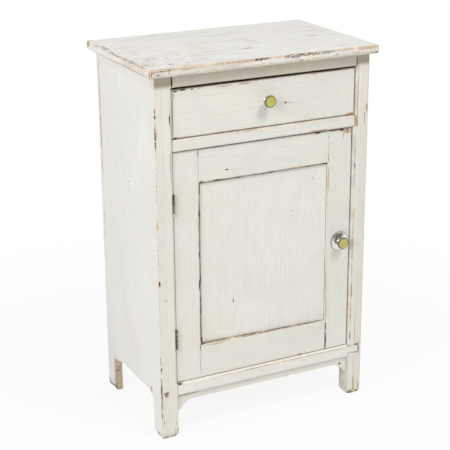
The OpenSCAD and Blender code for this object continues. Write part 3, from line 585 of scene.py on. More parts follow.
def marks_of(node):
    """The node's worn places by kind, each with its centre and half-sizes in metres."""
    kinds = {}
    for line in MARKS.get(node, "").split("\n"):
        if line.strip():
            kind, *sizes = line.split()
            kinds.setdefault(kind, []).append([float(size) * MM for size in sizes])
    return kinds


def along_grain(t, p, grain, seed, shift):
    """Places for the noises of wood, different for each seed, so that no two boards are alike."""
    return t.vec("MULTIPLY_ADD", p, GRAIN[grain], tuple(seed * c for c in shift))


def pine_grain(t, g):
    """The fibres and growth rings of unpainted pine."""
    return t.noise(g, 600, 3, 0.6), t.noise(g, 55, 4, 0.55, distortion=1.4)


def old_pine(t, p, fibre, rings, tones):
    """The colour of unpainted pine with growth rings, darker where hands and dust reach it."""
    rings = t.math("SINE", t.times(rings, 42.0))
    colour = t.wood(t.step(t.sum((rings, 0.22), (fibre, 0.6), 0.2), 0.25, 0.85), tones)
    return t.mix(t.step(t.noise(p, 14, 4, 0.6), 0.45, 0.75, 0.0, 0.55), colour, lin(HANDLED))


def paint_tree(name, grain, seed):
    """A tree with what its layers share: places, also along the grain and shaken a little, and noises."""
    t = new_tree(name)
    t.place = t.point()
    t.xyz = t.split(t.place)
    t.true = t.add("ShaderNodeNewGeometry", out=3)
    t.along = along_grain(t, t.place, grain, seed, PAINT_SHIFT)
    t.fine = t.noise(t.along, 300, 2, 0.6)
    t.hair = t.noise(t.along, 620, 2, 0.6)
    t.broad = t.noise(t.along, 70, 2, 0.5)
    t.mottle = t.noise(t.place, 60, 4, 0.6)
    t.chips = t.noise(t.place, 150, 3, 0.65)
    t.where = t.noise(t.place, 8.5, 2)
    t.crumbs = t.noise(t.place, 430, 2, 0.6)
    t.fibre = t.step(t.sum((t.fine, 0.5), (t.hair, 0.5)), 0.36, 0.62)

    shaken = t.vec("MULTIPLY_ADD", t.noise(t.place, 240, 2, out=1), (2 * WOBBLE,) * 3, t.place)
    t.shaken = t.vec("SUBTRACT", shaken, (WOBBLE,) * 3)
    t.shaken_xyz = t.split(t.shaken)

    across = [2 * math.pi / RING * (c == 1) for c in GRAIN[grain]]
    turns = t.sum((t.vec("DOT_PRODUCT", t.place, across, out=1), 1.0), (t.noise(t.along, 22, 4, 0.6), 18.0),
                  (t.hair, 2.5))
    t.rings = t.times(t.step(t.math("SINE", turns), 0.1, 0.95), t.step(t.broad, 0.35, 0.6, 0.2, 1.0))
    return t


def coat(t, tone, streaks, lit_as_front):
    """Brush marks and grain lines in the paint, which is warmer in places, with the front's painted light
    tint on a side's front edge.
    """
    cloud = t.sum((t.fine, 0.38), (t.broad, 0.10), (t.noise(t.place, 9, 3), 0.26), (t.mottle, 0.26))
    colour = t.mix(t.step(cloud, 0.32, 0.68), shade(tone, -8), shade(tone, 5))
    line = t.step(t.sum((t.fine, 0.6), (t.hair, 0.4)), 0.55, 0.67, 0.0, 0.5)
    colour = t.mix(line, colour, shade(tone, -20))
    colour = t.mix(t.times(t.rings, streaks), colour, shade(tone, -15))
    warm = t.step(t.noise(t.place, 15, 2), 0.5, 0.75, 0.0, 0.6)
    colour = t.mix(warm, colour, WARM_TINT, "MULTIPLY")
    if lit_as_front:
        colour = t.mix(t.step(t.shaken_xyz[1], *FRONT), colour, FRONT_LIT_TINT, "MULTIPLY")
    return colour


def broken_coat_and_shade(t, colour, front, height):
    """The upper coat has broken away under a wavy line at this height, in front of this depth (mm); the
    darker undercoat there also paints shade on the nose's lower half.
    """
    across = t.vec("MULTIPLY", t.place, (1.0, 0.0, 0.0))
    level = t.sum((t.noise(across, 30, 4, 0.6), 0.012), (t.noise(across, 7, 2), 0.005),
                  height * MM - WAVE_MEAN)
    over = t.math("SUBTRACT", t.shaken_xyz[2], level)
    at_front = t.step(t.shaken_xyz[1], (front + FADE) * MM, front * MM)
    lost_and_shaded = t.times(t.step(over, 0.0004, -0.0004), at_front)
    colour = t.mix(lost_and_shaded, colour, UNDERCOAT_AND_SHADE_TINT, "MULTIPLY")
    rim = t.step(t.math("ABSOLUTE", over), 0.0013, 0.0006)
    rim = t.times(rim, t.times(at_front, t.step(t.chips, 0.42, 0.55, 0.0, 0.8)))
    return t.mix(rim, colour, lin(BROKEN_RIM))


def edge_mask(t, keep):
    """1 along the arrises, but 0 where the board meets another one flush."""
    bevel = t.add("ShaderNodeBevel", {"Radius": EDGE_REACH}, samples=4)
    bend = t.math("SUBTRACT", 1.0, t.vec("DOT_PRODUCT", bevel, t.true, out=1))
    mask = t.step(bend, 0.012, 0.05)
    for axis, at, *heights in keep:
        off = t.math("ABSOLUTE", t.math("SUBTRACT", t.xyz[AXIS[axis]], at * MM))
        for height, sign in zip(heights, (-1.0, 1.0)):
            off = t.math("MAXIMUM", off, t.sum((t.xyz[2], sign), -sign * height * MM))
        mask = t.times(mask, t.step(off, *JOINT_CLEAR))
    return mask


def dust_and_shade_on_ledges(t, colour, dust_and_shade):
    """Dust and painted shade on what faces the ways given, as strong as they say."""
    for way, strength in dust_and_shade.items():
        ledge = t.step(t.vec("DOT_PRODUCT", t.true, WAYS[way], out=1), 0.35, 0.7)
        ledge = t.times(ledge, t.step(t.noise(t.place, 45, 3), 0.35, 0.62, 0.35 * strength, strength))
        colour = t.mix(ledge, colour, lin(LEDGE_DUST_AND_SHADE))
    return colour


def painted_shade_under_top(t, colour, lit_as_front):
    """Painted shade right under the top, where its overhang shades the front; faint on a side board but for
    its front edge.
    """
    z = t.sum((t.xyz[2], 1.0), (t.mottle, 2 * UNDER_TOP_SHADE_RAGGED), -UNDER_TOP_SHADE_RAGGED)
    dark = t.times(t.step(z, *UNDER_TOP_SHADE_RISE), t.step(z, *UNDER_TOP_SHADE_FALL, 1.0, 0.7))
    if lit_as_front:
        dark = t.times(dark, t.step(t.xyz[1], *FRONT, 0.12, 1.0))
    return t.mix(dark, colour, UNDER_TOP_SHADE_TINT, "MULTIPLY")


def mark_masks(t, node):
    """Where each kind of mark lies, and the zone round it for the kinds that have one."""
    masks = {}
    for kind, spots in marks_of(node).items():
        field = t.sum((t.near(t.shaken, spots), 1.0), (t.chips, 1.3), (t.crumbs, 1.3), -1.17)
        masks[kind] = t.step(field, 0.0, 0.35)
        if kind == "k":
            masks[kind] = t.times(masks[kind], t.step(t.crumbs, 0.47, 0.53))
        if kind in "bgd":
            masks[kind + "+"] = t.step(field, -0.9, 0.1, 0.0, 0.6)
    return masks


def flecked(t, colour, grain, flecks, used):
    """Flecks worn along the grain; used: a place and its half-sizes (mm) with more, and greyed."""
    stretch = tuple(FLECK_STRETCH if c < 1 else 1.0 for c in GRAIN[grain])
    drawn = t.vec("MULTIPLY", t.shaken, stretch)
    bits = t.sum((t.noise(drawn, 175, 4, 0.7), 1.0), (t.noise(t.place, 11, 2), 0.7))
    if used:
        there = t.near(t.place, [[c * MM for c in used]])
        bits = t.math("ADD", bits, t.step(there, -0.6, 0.9, -0.01, 0.22))
        grey = t.step(t.sum((t.noise(drawn, 42, 5, 0.65), 1.0), (t.noise(t.place, 7, 2), 0.5)), 0.72, 0.94)
        grey = t.times(grey, t.step(t.xyz[0], *GREY_SIDE, 0.15, 0.5))
        colour = t.mix(grey, colour, lin(GREYED))
        colour = t.mix(t.step(t.noise(t.place, 19, 3), 0.55, 0.75, 0.0, 0.5), colour, lin(YELLOWED))
    colour = t.mix(t.step(bits, 1.02, 1.22, 0.0, flecks), colour, lin(FLECK))
    return t.mix(t.step(bits, 1.22, 1.30, 0.0, 0.8), colour, lin(DEEP_FLECK))


def cut_wood(t, colour, box):
    """Cut wood that never was painted, inside a mark of this centre and these half-sizes (mm)."""
    inside = t.near(t.place, [[c * MM for c in box]])
    cut = t.step(t.sum((inside, 1.0), (t.chips, 0.3), -0.15), 0.0, 0.04)
    wood = t.wood(t.step(t.noise(t.along, 200, 4, 0.6), 0.3, 0.6), CUT_PINE)
    dirty = t.step(t.sum((t.chips, 0.6), (t.mottle, 0.4)), 0.52, 0.62, 0.0, 0.7)
    return t.mix(cut, colour, t.mix(dirty, wood, lin(CUT_DIRT)))


def panel_line(t, colour, x0, x1, z0, z1, width, fall):
    """The dark line inside the panel's frame (mm), whose lower edge falls by so much per mm along X."""
    x0, x1, z0, z1, width = (c * MM for c in (x0, x1, z0, z1, width))
    x, z = t.shaken_xyz[0], t.shaken_xyz[2]
    beside = t.math("MINIMUM", t.math("SUBTRACT", x, x0), t.math("SUBTRACT", x1, x))
    above = t.sum((x, fall), (z, 1.0), -z0 - x0 * fall)
    inward = t.math("MINIMUM", beside, t.math("MINIMUM", above, t.math("SUBTRACT", z1, z)))
    dark = t.step(t.sum((inward, -1 / width), (t.chips, 1.2), 0.3), 0.0, 0.6)
    dark = t.times(dark, t.step(t.noise(t.place, 32, 2), 0.35, 0.6, 0.45, 1.0))
    return t.mix(dark, colour, lin(PANEL_LINE))


def unpainted_past(t, colour, axis, at, sign):
    """Old pine on the side of the plane (mm) that looks inwards, above the feet."""
    past = t.sum((t.xyz[AXIS[axis]], sign), -sign * at * MM)
    hidden = t.times(t.step(past, -0.0001, 0.0001), t.step(t.xyz[2], *INSIDE_FROM))
    return t.mix(hidden, colour, old_pine(t, t.place, *pine_grain(t, t.along), EDGE_PINE))


def painted(node, seed, keep, grain, tone=WARM, wear=0.0, flecks=0.0, used=None, raw=None, dirt=None,
            bare_and_shaded_from=None, lit_as_front=False, ragged=None, inside=None, dust_and_shade=LEDGE_DUST_AND_SHADE_WAYS, shade_under_top=False,
            streaks=0.28):
    """Ivory paint over pine: grain and brush marks, edges rubbed through, and the piece's own marks.

    keep: planes (axis, mm) where it meets another board flush, some with heights between which it does.
    wear: how much of its edges is rubbed through. streaks: how clear its grain lines are.
    flecks, used: see flecked. raw: see cut_wood. dirt: see panel_line. ragged: see broken_coat_and_shade.
    bare_and_shaded_from: the depth y behind which it never was painted, and is dark pine as painted shade in
    the gap. inside: see unpainted_past.
    lit_as_front: its front edge takes the front's painted light tint. shade_under_top: painted shade falls
    under the top.
    dust_and_shade: the ways whose faces take dust and painted shade, and how much.
    """
    t = paint_tree("paint_" + node, grain, seed)
    masks = mark_masks(t, node)
    near_edge = edge_mask(t, keep)

    colour = coat(t, tone, streaks, lit_as_front)
    if ragged:
        colour = broken_coat_and_shade(t, colour, *ragged)
    colour = dust_and_shade_on_ledges(t, colour, dust_and_shade)
    # painted shade under the top's overhang
    if shade_under_top:
        colour = painted_shade_under_top(t, colour, lit_as_front)
    thin = t.times(near_edge, t.step(t.sum((t.chips, 1.0), (t.where, 1.0)), 0.85, 1.2, 0.22, 0.65))
    colour = t.mix(thin, colour, lin(THIN_COAT))
    for kind, (strength, tint) in IN_PAINT.items():
        if kind in masks:
            colour = t.mix(t.times(masks[kind], strength), colour, lin(tint))
    if flecks:
        colour = flecked(t, colour, grain, flecks, used)

    # bare wood
    pine = t.wood(t.fibre, WORN_PINE)
    if ragged:
        held = t.step(t.noise(t.place, 70, 3, 0.6), 0.4, 0.7, 0.2, 0.85)
        pine = t.mix(held, pine, lin(PAINT_IN_PINE))
    rub = t.sum((t.chips, 2.2), (t.where, 2.4), (near_edge, 0.35), -3.2 + wear)
    worn_off = t.times(t.step(rub, 0.0, 0.12), near_edge)
    colour = t.mix(worn_off, colour, pine)
    for kind, wood in (("g", t.wood(t.fibre, GOLDEN_PINE)), ("b", pine)):
        if kind in masks:
            colour = t.mix(masks[kind], colour, wood)
            worn_off = t.math("MAXIMUM", worn_off, masks[kind])
    if "n" in masks:
        colour = t.mix(masks["n"], colour, lin(KNOCK))
    if raw:
        colour = cut_wood(t, colour, raw)
    low = t.step(t.sum((t.xyz[2], 1.0), (t.chips, 0.016), -0.008), LOW, 0.0, 0.0, 0.5)
    colour = t.mix(low, colour, lin(FLOOR_DIRT))

    # what lies over paint and wood alike
    if dirt:
        colour = panel_line(t, colour, *dirt)
    # unpainted, and dark as painted shade in the gap
    if bare_and_shaded_from is not None:
        back = t.step(t.shaken_xyz[1], bare_and_shaded_from * MM, (bare_and_shaded_from + FADE) * MM)
        colour = t.mix(back, colour, t.wood(t.fibre, GAP_SHADED_PINE))
    if inside:
        colour = unpainted_past(t, colour, *inside)
    if "k" in masks:
        colour = t.mix(masks["k"], colour, lin(CHIP))
    deep = worn_off
    if "d" in masks:
        colour = t.mix(masks["d"], colour, lin(CRACK_AND_GAP_SHADE))
        deep = t.math("MAXIMUM", worn_off, t.times(masks["d"], 2.0))

    rough = t.sum((t.fine, 0.12), (worn_off, 0.25), 0.44)
    height = t.sum((t.fine, 0.00006), (t.hair, 0.00002), (t.broad, 0.00006), (t.rings, -0.00004),
                   (t.mottle, 0.00009), (deep, -0.0003))
    return t.finish(colour, rough, height, 0.8, Specular_IOR_Level=0.35)


def bare(name, grain, seed):
    """Old unpainted pine."""
    t = new_tree(name)
    p = t.point()
    fibre, rings = pine_grain(t, along_grain(t, p, grain, seed, PINE_SHIFT))
    colour = old_pine(t, p, fibre, rings, INNER_PINE)
    height = t.sum((fibre, 0.0001), (rings, 0.00003))
    return t.finish(colour, t.sum((fibre, 0.2), 0.6), height, 0.8)


def chrome(name, x, z, radii):
    """Old plated metal, turned about the axis through (x, z), with tarnish in rings of these radii (mm)."""
    t = new_tree(name)
    p = t.point()
    cloud = t.noise(p, 230, 4, 0.6)
    pits = t.step(t.noise(p, 700, 2), 0.68, 0.76)
    clean, clouded = PLATING
    colour = t.mix(t.step(cloud, 0.4, 0.7), lin(clean), lin(clouded))
    rough = t.sum((cloud, 0.16), (pits, 0.3), 0.12)
    r = t.from_axis(p, x, z, 1.0)
    for at in radii:
        off = t.math("ABSOLUTE", t.math("SUBTRACT", r, at))
        ring = t.step(t.sum((off, -1.0), (cloud, 1.2), 0.15), 0.0, 0.5, 0.0, 0.9)
        colour = t.mix(ring, colour, lin(TARNISH))
        rough = t.sum((ring, 0.3), (rough, 1.0))
    colour = t.mix(t.times(pits, 0.7), colour, lin(PIT))
    height = t.sum((cloud, 0.00001), (pits, -0.00001))
    return t.finish(colour, rough, height, 0.5, Metallic=1.0)


def knob_green(name, x, z):
    """Glossy yellow-green face, darker and dirtier at its rim, a little cloudy."""
    t = new_tree(name)
    p = t.point()
    r = t.from_axis(p, x, z, FACE_RADIUS)
    cloud = t.noise(p, 210, 4, 0.6)
    middle, further = GREEN
    outward = t.step(t.sum((r, 1.0), (cloud, 0.5), -0.25), 0.2, 0.7)
    colour = t.mix(outward, lin(middle), lin(further))
    rim = t.step(t.sum((r, 1.0), (cloud, 0.3), -0.15), 0.74, 0.92, 0.0, 0.9)
    colour = t.mix(rim, colour, lin(GREEN_RIM))
    height = t.sum((cloud, 0.00006))
    return t.finish(colour, t.sum((cloud, 0.2), 0.12), height, 0.4, Coat_Weight=0.4)


def steel(name, ends=()):
    """Dull dark steel, rusty in places. With ends it is a hinge's: see paint_left."""
    t = new_tree(name)
    p = t.point()
    cloud = t.noise(p, 180, 4, 0.6)
    grit = t.noise(p, 900, 3, 0.6)
    dark, light = STEEL
    colour = t.mix(t.step(cloud, 0.4, 0.65), lin(dark), lin(light))
    colour = t.mix(t.step(t.noise(p, 420, 3), 0.55, 0.7, 0.0, 0.6), colour, lin(RUST))
    metal = t.step(cloud, 0.4, 0.7, 0.35, 0.75)
    if ends:
        left = paint_left(t, p, ends)
        colour = t.mix(left, colour, lin(PAINT_ON_STEEL))
        metal = t.times(metal, t.math("SUBTRACT", 1.0, left))
    height = t.sum((cloud, 0.00008), (grit, 0.00003))
    return t.finish(colour, t.sum((grit, 0.25), 0.4), height, 0.6, Metallic=metal)


def paint_left(t, p, ends):
    """Where a hinge still has paint: right of the hinge line, in specks, and between these heights (mm)."""
    x, _, z = t.split(p)
    wander = (t.noise(p, 300, 3, 0.6), 2 * HINGE_WANDER)
    left = t.step(t.sum((x, 1.0), wander, -HINGE_WANDER - HINGE_LINE), -0.0006, 0.0, 0.0, 0.9)
    left = t.math("MAXIMUM", left, t.step(t.noise(p, 520, 3, 0.6), 0.54, 0.58, 0.0, 0.6))
    z = t.sum((z, 1.0), wander, -HINGE_WANDER)
    for low, high in ends:
        above = t.step(z, low * MM - 0.001, low * MM)
        below = t.step(z, high * MM, high * MM - 0.0008)
        left = t.math("MAXIMUM", left, t.times(above, below))
    return left


# ---------- worn pieces ----------

SAME_PLACE = 2e-6  # corners nearer than this are one, in metres
NO_LENGTH = 1e-6  # an edge or cut piece shorter than this is none
FLAT = math.radians(0.5)  # faces that bend less are one
SHARP = math.radians(28)  # an edge that bends more is an arris
SHORT = 3  # an arris shorter than so many roundings stays as it is
SMOOTH = math.radians(32)  # shading runs smoothly over an edge that bends less
TURNED_SMOOTH = math.radians(50)  # the same on turned pieces
UNEVEN = 0.3  # how far planing and wear take a face back, in mm
WAVES = ((9.0, (0, 0, 0), 0.5), (34.0, (3, 1, 7), 0.3), (95.0, (11, 5, 2), 0.2))  # per metre, shift, share
TOUCH = 4e-5  # how near a plane an edge counts as on it, in metres
FACING = 0.3  # how much a corner has to face a way to wear with it
CUTS = 13.0  # how far apart a board is cut for its uneven faces, in mm
FINE_CUTS = {"top_board": 8.0}  # the same, where it's less
FOOT_CUTS = (0.7, 1.8, 3.4, 5.5, 8.5, 12.0)  # heights of more cuts through the feet, in mm
FOOT_HEIGHT, FOOT_DEPTH = 16.0, 8.5  # how far the feet's bottom corners are knocked round, in mm
FOOT_WAYS = {"post_left": "-y +x", "post_right": "-y -x", "side_left": "-x -y", "side_right": "+x -y"}

# edges knocked about more than the rest: axis, place, reach and extra depth in mm
KNOCKED = {
    "top_board": (("y", -164, 9, 0.9), ("x", -254, 8, 0.5), ("x", 254, 8, 0.6)),
    "drawer_front": (("z", 734.5, 2.5, 0.9),),
}


def add_object(name, data):
    o = bpy.data.objects.new(name, data)
    bpy.context.scene.collection.objects.link(o)
    return o


def add_piece(name, node, bm, mat):
    """Makes a piece of bm, which is used up, that moves with the node's body and stands for the node."""
    bmesh.ops.recalc_face_normals(bm, faces=bm.faces)
    me = bpy.data.meshes.new(name)
    bm.to_mesh(me)
    bm.free()
    me.materials.append(mat)
    o = add_object(name, me)
    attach(o, BODY[node])
    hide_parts(node)
    return me


def weigh_normals(me, limit):
    """Lets the large faces keep their own normals, so that a rubbed arris throws no shade across them."""
    around = [[] for _ in me.vertices]
    for f in me.polygons:
        for v in f.vertices:
            around[v].append((f.normal.copy(), f.area))
    normals = []
    for f in me.polygons:
        for v in f.vertices:
            n = sum((m * area for m, area in around[v] if m.dot(f.normal) > limit), Vector())
            normals.append(n.normalized() if n.length > 0 else f.normal)
    me.normals_split_custom_set(normals)


def solid_of(node):
    """The node's solid as a bmesh without the seams of its triangles."""
    bm = bmesh.new()
    bm.from_mesh(NODES[node].data)
    bmesh.ops.remove_doubles(bm, verts=bm.verts, dist=SAME_PLACE)
    bmesh.ops.dissolve_limit(bm, angle_limit=FLAT, verts=bm.verts, edges=bm.edges)
    bmesh.ops.dissolve_degenerate(bm, dist=NO_LENGTH, edges=bm.edges)
    return bm


def on_plane(e, axis, at):
    """Whether both ends of the edge lie on the plane (mm)."""
    return all(abs(v.co[AXIS[axis]] - at * MM) < TOUCH for v in e.verts)


def round_arrises(bm, keep, rounding):
    """Rubs the arrises round (mm), except those on a plane that is kept over its whole height."""
    planes = [k for k in keep if len(k) == 2]
    sharp = []
    for e in bm.edges:
        if len(e.link_faces) != 2 or e.calc_length() < SHORT * rounding * MM:
            continue
        if e.calc_face_angle_signed(0.0) < SHARP or any(on_plane(e, *k) for k in planes):
            continue
        sharp.append(e)
    if sharp:
        bmesh.ops.bevel(bm, geom=sharp, offset=rounding * MM, offset_type="OFFSET", segments=2, profile=0.5,
                        affect="EDGES", clamp_overlap=False, miter_outer="SHARP")


def cut(bm, axis, at):
    """Cuts all faces along a plane across the axis, at so many metres."""
    place, normal = [0, 0, 0], [0, 0, 0]
    place[axis], normal[axis] = at, 1
    bmesh.ops.bisect_plane(bm, geom=bm.verts[:] + bm.edges[:] + bm.faces[:], dist=NO_LENGTH,
                           plane_co=place, plane_no=normal)


def unevenness(co):
    """How far hand planing and wear take a surface back, in metres: never outwards."""
    waves = sum(noise.noise(co * scale + Vector(shift)) * share for scale, shift, share in WAVES)
    return UNEVEN * MM * (0.9 + waves)


def worn_depth(co, knocked):
    """How far the surface goes back at this place, in metres."""
    depth = unevenness(co)
    for axis, at, reach, extra in knocked:
        far = abs(co[AXIS[axis]] - at * MM) / (reach * MM)
        if far < 1:
            ragged = 0.55 + noise.noise(co * 60.0) * 0.9 + noise.noise(co * 140.0) * 0.4
            depth += extra * MM * (1 - far) * ragged
    return depth


def foot_depth(co, low):
    """How far a foot's corner is knocked back here, in metres; low runs from 0 to 1 at the floor."""
    ragged = 0.85 + noise.noise(co * 70.0) * 0.5
    return FOOT_DEPTH * MM * (1 - math.sqrt(1 - low ** 2)) * ragged


def worn(node, free, keep, rounding, mat):
    """The node's board with its arrises rubbed round and its faces a little uneven.

    free: the ways whose faces wear. keep: planes (axis, mm) where it meets another board flush.
    """
    bm = solid_of(node)
    round_arrises(bm, keep, rounding)
    lo = [min(v.co[i] for v in bm.verts) for i in range(3)]
    hi = [max(v.co[i] for v in bm.verts) for i in range(3)]
    for i in range(3):
        parts = int((hi[i] - lo[i]) / (FINE_CUTS.get(node, CUTS) * MM))
        for k in range(1, parts):
            cut(bm, i, lo[i] + (hi[i] - lo[i]) * k / parts)
    if lo[2] < MM:
        for height in FOOT_CUTS:
            cut(bm, 2, height * MM)
    bm.normal_update()

    ways = [Vector(WAYS[way]) for way in free.split()]
    foot_ways = [(AXIS[way[1]], -1 if way[0] == "-" else 1) for way in FOOT_WAYS.get(node, "").split()]
    moves = []
    for v in bm.verts:
        depth = worn_depth(v.co, KNOCKED.get(node, ()))
        move = Vector()
        for way in ways:
            if v.normal.dot(way) > FACING:
                move -= way * max(depth, 0.0)
        low = 1 - v.co.z / (FOOT_HEIGHT * MM)
        if low > 0:
            least = depth + foot_depth(v.co, min(low, 1.0))
            for i, sign in foot_ways:
                inside = hi[i] - v.co[i] if sign > 0 else v.co[i] - lo[i]
                if inside < least:
                    move[i] = -sign * (least - inside)
        moves.append(move)
    for v, move in zip(bm.verts, moves):
        v.co += move

    me = add_piece("worn_" + node, node, bm, mat)
    me.set_sharp_from_angle(angle=SMOOTH)
    weigh_normals(me, math.cos(SMOOTH))


def lathe(name, node, x, z, profile, mat, slot, sides=72):
    """A turned piece round the axis along Y through (x, z); profile lists (radius, y) in mm."""
    bm = bmesh.new()
    rings = []
    for r, y in profile:
        ring = []
        for k in range(1 if r == 0 else sides):
            turn = 2 * math.pi * k / sides
            place = ((x + r * math.cos(turn)) * MM, y * MM, (z + r * math.sin(turn)) * MM)
            ring.append(bm.verts.new(place))
        rings.append(ring)
    for a, b in zip(rings, rings[1:]):
        for k in range(sides):
            quad = [a[k % len(a)], a[(k + 1) % len(a)], b[(k + 1) % len(b)], b[k % len(b)]]
            quad = list(dict.fromkeys(quad))
            if len(quad) > 2:
                bm.faces.new(quad)
    me = add_piece(name, node, bm, mat)
    for f in me.polygons:
        f.use_smooth = True
    me.set_sharp_from_angle(angle=TURNED_SMOOTH)


def dress(node, mat):
    """A better material on a CAD node whose shape stays."""
    o = NODES[node]
    o.data.materials.clear()
    o.data.materials.append(mat)


# ---------- painted boards ----------

# planes where boards meet flush: axis, mm, and for some the heights between which they do
SIDE_LEFT, SIDE_RIGHT = ("x", -221.5), ("x", 221.5)
UNDER_TOP = ("z", 762)
ON_BACK = ("y", 135)
BEHIND_POSTS = ("y", -114)
TENON_ENDS = (("x", -209.5), ("x", 217.5))
ON_APRON = ("z", 94.5)
HINGE_STILE, LOCK_STILE = ("x", -146), ("x", 148.5)
DOOR_LOW = ("z", 122.5, 100, 140)
AT_TOP_RAIL = (541.5, 612)  # heights between which a stile meets the door's rails
AT_LOW_RAIL_LEFT, AT_LOW_RAIL_RIGHT = (120, 197), (120, 189)

# places for the paint, as painted takes them
CUT_FOOT = (-230.5, 108.0, 30.0, 26.0, 6.0, 62.0)
USED_MOST = (-175, -85, 780, 130, 100, 100)
PANEL_EDGE = (-142.6, 149.2, 196.2, 538.9, 1.9, 0.0272)

# paint that several boards share
POST_PAINT = dict(grain="z", inside=("y", -122, 1), shade_under_top=True)
SIDE_PAINT = dict(grain="z", tone=COOL_LIT_TONE, flecks=0.2, streaks=0.2, lit_as_front=True, shade_under_top=True)
PLANK_PAINT = dict(grain="z", tone=COOL_LIT_TONE, wear=0.1, inside=("y", 135.3, -1))

# node, ways that wear, planes where it meets another board flush, rounding of its arrises, and its paint
BOARDS = [
    ("top_board", "-x +x -y +y +z -z", (), 0.8,
     dict(grain="x", tone=TOP_TONE, wear=0.45, flecks=0.75, used=USED_MOST, ragged=(-158.5, 768.5),
          dust_and_shade={})),
    ("side_left", "-x -y", (SIDE_LEFT, UNDER_TOP, ON_BACK), 1.2,
     dict(SIDE_PAINT, wear=0.3, raw=CUT_FOOT, inside=("x", -221.65, 1))),
    ("side_right", "+x -y", (SIDE_RIGHT, UNDER_TOP, ON_BACK), 1.2,
     dict(SIDE_PAINT, wear=0.2, inside=("x", 221.65, -1))),
    ("post_left", "-y", (SIDE_LEFT, UNDER_TOP, BEHIND_POSTS, ("x", -201.5, 100, 762)), 0.5,
     dict(POST_PAINT, wear=0.1)),
    # the right post's inner face, which faces the left lamp, is darkened as painted shade
    ("post_right", "-y -x", (SIDE_RIGHT, UNDER_TOP, BEHIND_POSTS), 0.8,
     dict(POST_PAINT, wear=0.2, dust_and_shade={**LEDGE_DUST_AND_SHADE_WAYS, "-x": 0.4})),
    ("top_rail", "-y", (UNDER_TOP, *TENON_ENDS), 0.7,
     dict(grain="x", tone=TOP_RAIL_SHADED_TONE, bare_and_shaded_from=-144.5)),
    ("divider_rail", "-y +z -z", TENON_ENDS, 0.5,
     dict(grain="x", wear=0.45, inside=("y", -124, 1), dust_and_shade={"+z": 0.3})),
    ("bottom_rail", "-y +z", (ON_APRON, ("y", -128)), 0.7,
     dict(grain="x", tone=FOOT_RAIL_LIT_TONE, wear=0.15, dust_and_shade={"+z": 0.2})),
    ("apron", "-y -z", (ON_APRON,), 0.9, dict(grain="x", wear=0.1)),
    ("door_hinge_stile", "-y +y",
     ((*HINGE_STILE, *AT_TOP_RAIL), (*HINGE_STILE, *AT_LOW_RAIL_LEFT), DOOR_LOW, ("x", -200, 100, 612)), 0.4,
     dict(grain="z")),
    ("door_lock_stile", "-y +x +y",
     ((*LOCK_STILE, *AT_TOP_RAIL), (*LOCK_STILE, *AT_LOW_RAIL_RIGHT), DOOR_LOW, ("x", 203, 100, 590)), 0.4,
     dict(grain="z", wear=0.2)),
    ("door_top_rail", "-y +z +y", (HINGE_STILE, LOCK_STILE), 0.6, dict(grain="x", wear=0.1)),
    ("door_bottom_rail", "-y -z +y", (HINGE_STILE, LOCK_STILE, DOOR_LOW), 0.5, dict(grain="x", wear=0.1)),
    ("door_panel", "-y +y", (), 0.5,
     dict(grain="z", tone=PANEL_TONE, wear=-1.0, dirt=PANEL_EDGE, streaks=0.42)),
    ("drawer_front", "-y -z +z", (("y", -123), ("x", -200, 600, 720)), 0.5,
     dict(grain="x", wear=0.4, bare_and_shaded_from=-140.5)),
    ("back_plank_left", "+y -x", (("x", -79.57), ON_BACK), 1.0, PLANK_PAINT),
    ("back_plank_middle", "+y", (ON_BACK,), 1.0, PLANK_PAINT),
    ("back_plank_right", "+y +x", (ON_BACK,), 1.0, PLANK_PAINT),
]
for seed, (node, free, keep, rounding, paint) in enumerate(BOARDS, 1):
    worn(node, free, keep, rounding, painted(node, seed, keep, **paint))

# ---------- bare pine inside: the way its grain runs, and the nodes ----------

INNER = {
    "x": ("bottom_board", "back_rail", "drawer_back", "drawer_stops", "door_stop"),
    "y": ("drawer_side_left", "drawer_side_right", "drawer_bottom", "runner_left", "runner_right",
          "guide_left", "guide_right", "kicker_left", "kicker_right"),
}
for grain, nodes in INNER.items():
    for seed, node in enumerate(nodes, 3):
        dress(node, bare("pine_" + node, grain, seed))

# ---------- fittings ----------

HINGE_ENDS = ((190, 198), (476, 489))  # heights between which the hinges are painted over, in mm

iron = steel("old_steel")
hinge = steel("hinge_steel", HINGE_ENDS)
for node in NODES:
    if node.startswith("hinge_"):
        dress(node, hinge)
for node in ("top_screws", "back_nails", "drawer_nails", "knob_spindle", "catch", "catch_nut",
             "drawer_knob_bolt", "drawer_knob_nut"):
    dress(node, iron)

# profiles are (radius, y) in mm; at the foot of the neck y counts from the rose or the drawer's front
DOOR_KNOB_AT, DRAWER_KNOB_AT = (179.0, 366.0), (4.0, 690.5)
FOOT_OF_NECK = [(3.6, 0.0), (6.9, 0.0), (6.9, -0.9), (6.3, -1.6), (5.4, -2.6)]
HEAD = [(5.1, -150.6), (5.4, -152.2), (6.6, -153.6), (8.8, -154.9), (10.8, -156.0), (11.9, -156.9),
        (12.5, -157.8), (12.6, -158.5), (12.4, -159.0), (11.9, -159.1), (3.6, -159.1)]
DOME = [(0, -159.1), (11.6, -159.1), (12.1, -159.4), (FACE_RADIUS, -160.0), (12.1, -160.8), (11.4, -161.4),
        (10.0, -161.85), (7.0, -162.2), (3.5, -162.45), (0, -162.5)]
ROSE = [(7.2, -143.05), (20.5, -143.05), (20.5, -143.7), (20.2, -144.3), (19.5, -144.7), (18.6, -144.7),
        (18.0, -144.6), (17.2, -144.8), (15.0, -145.4), (12.0, -146.1), (9.5, -146.7), (8.4, -146.95),
        (7.4, -146.95), (7.2, -146.5)]
HEAD_TARNISH, ROSE_TARNISH = (12.4, 11.3, 10.2, 9.1, 8.0), (20.2, 7.6)

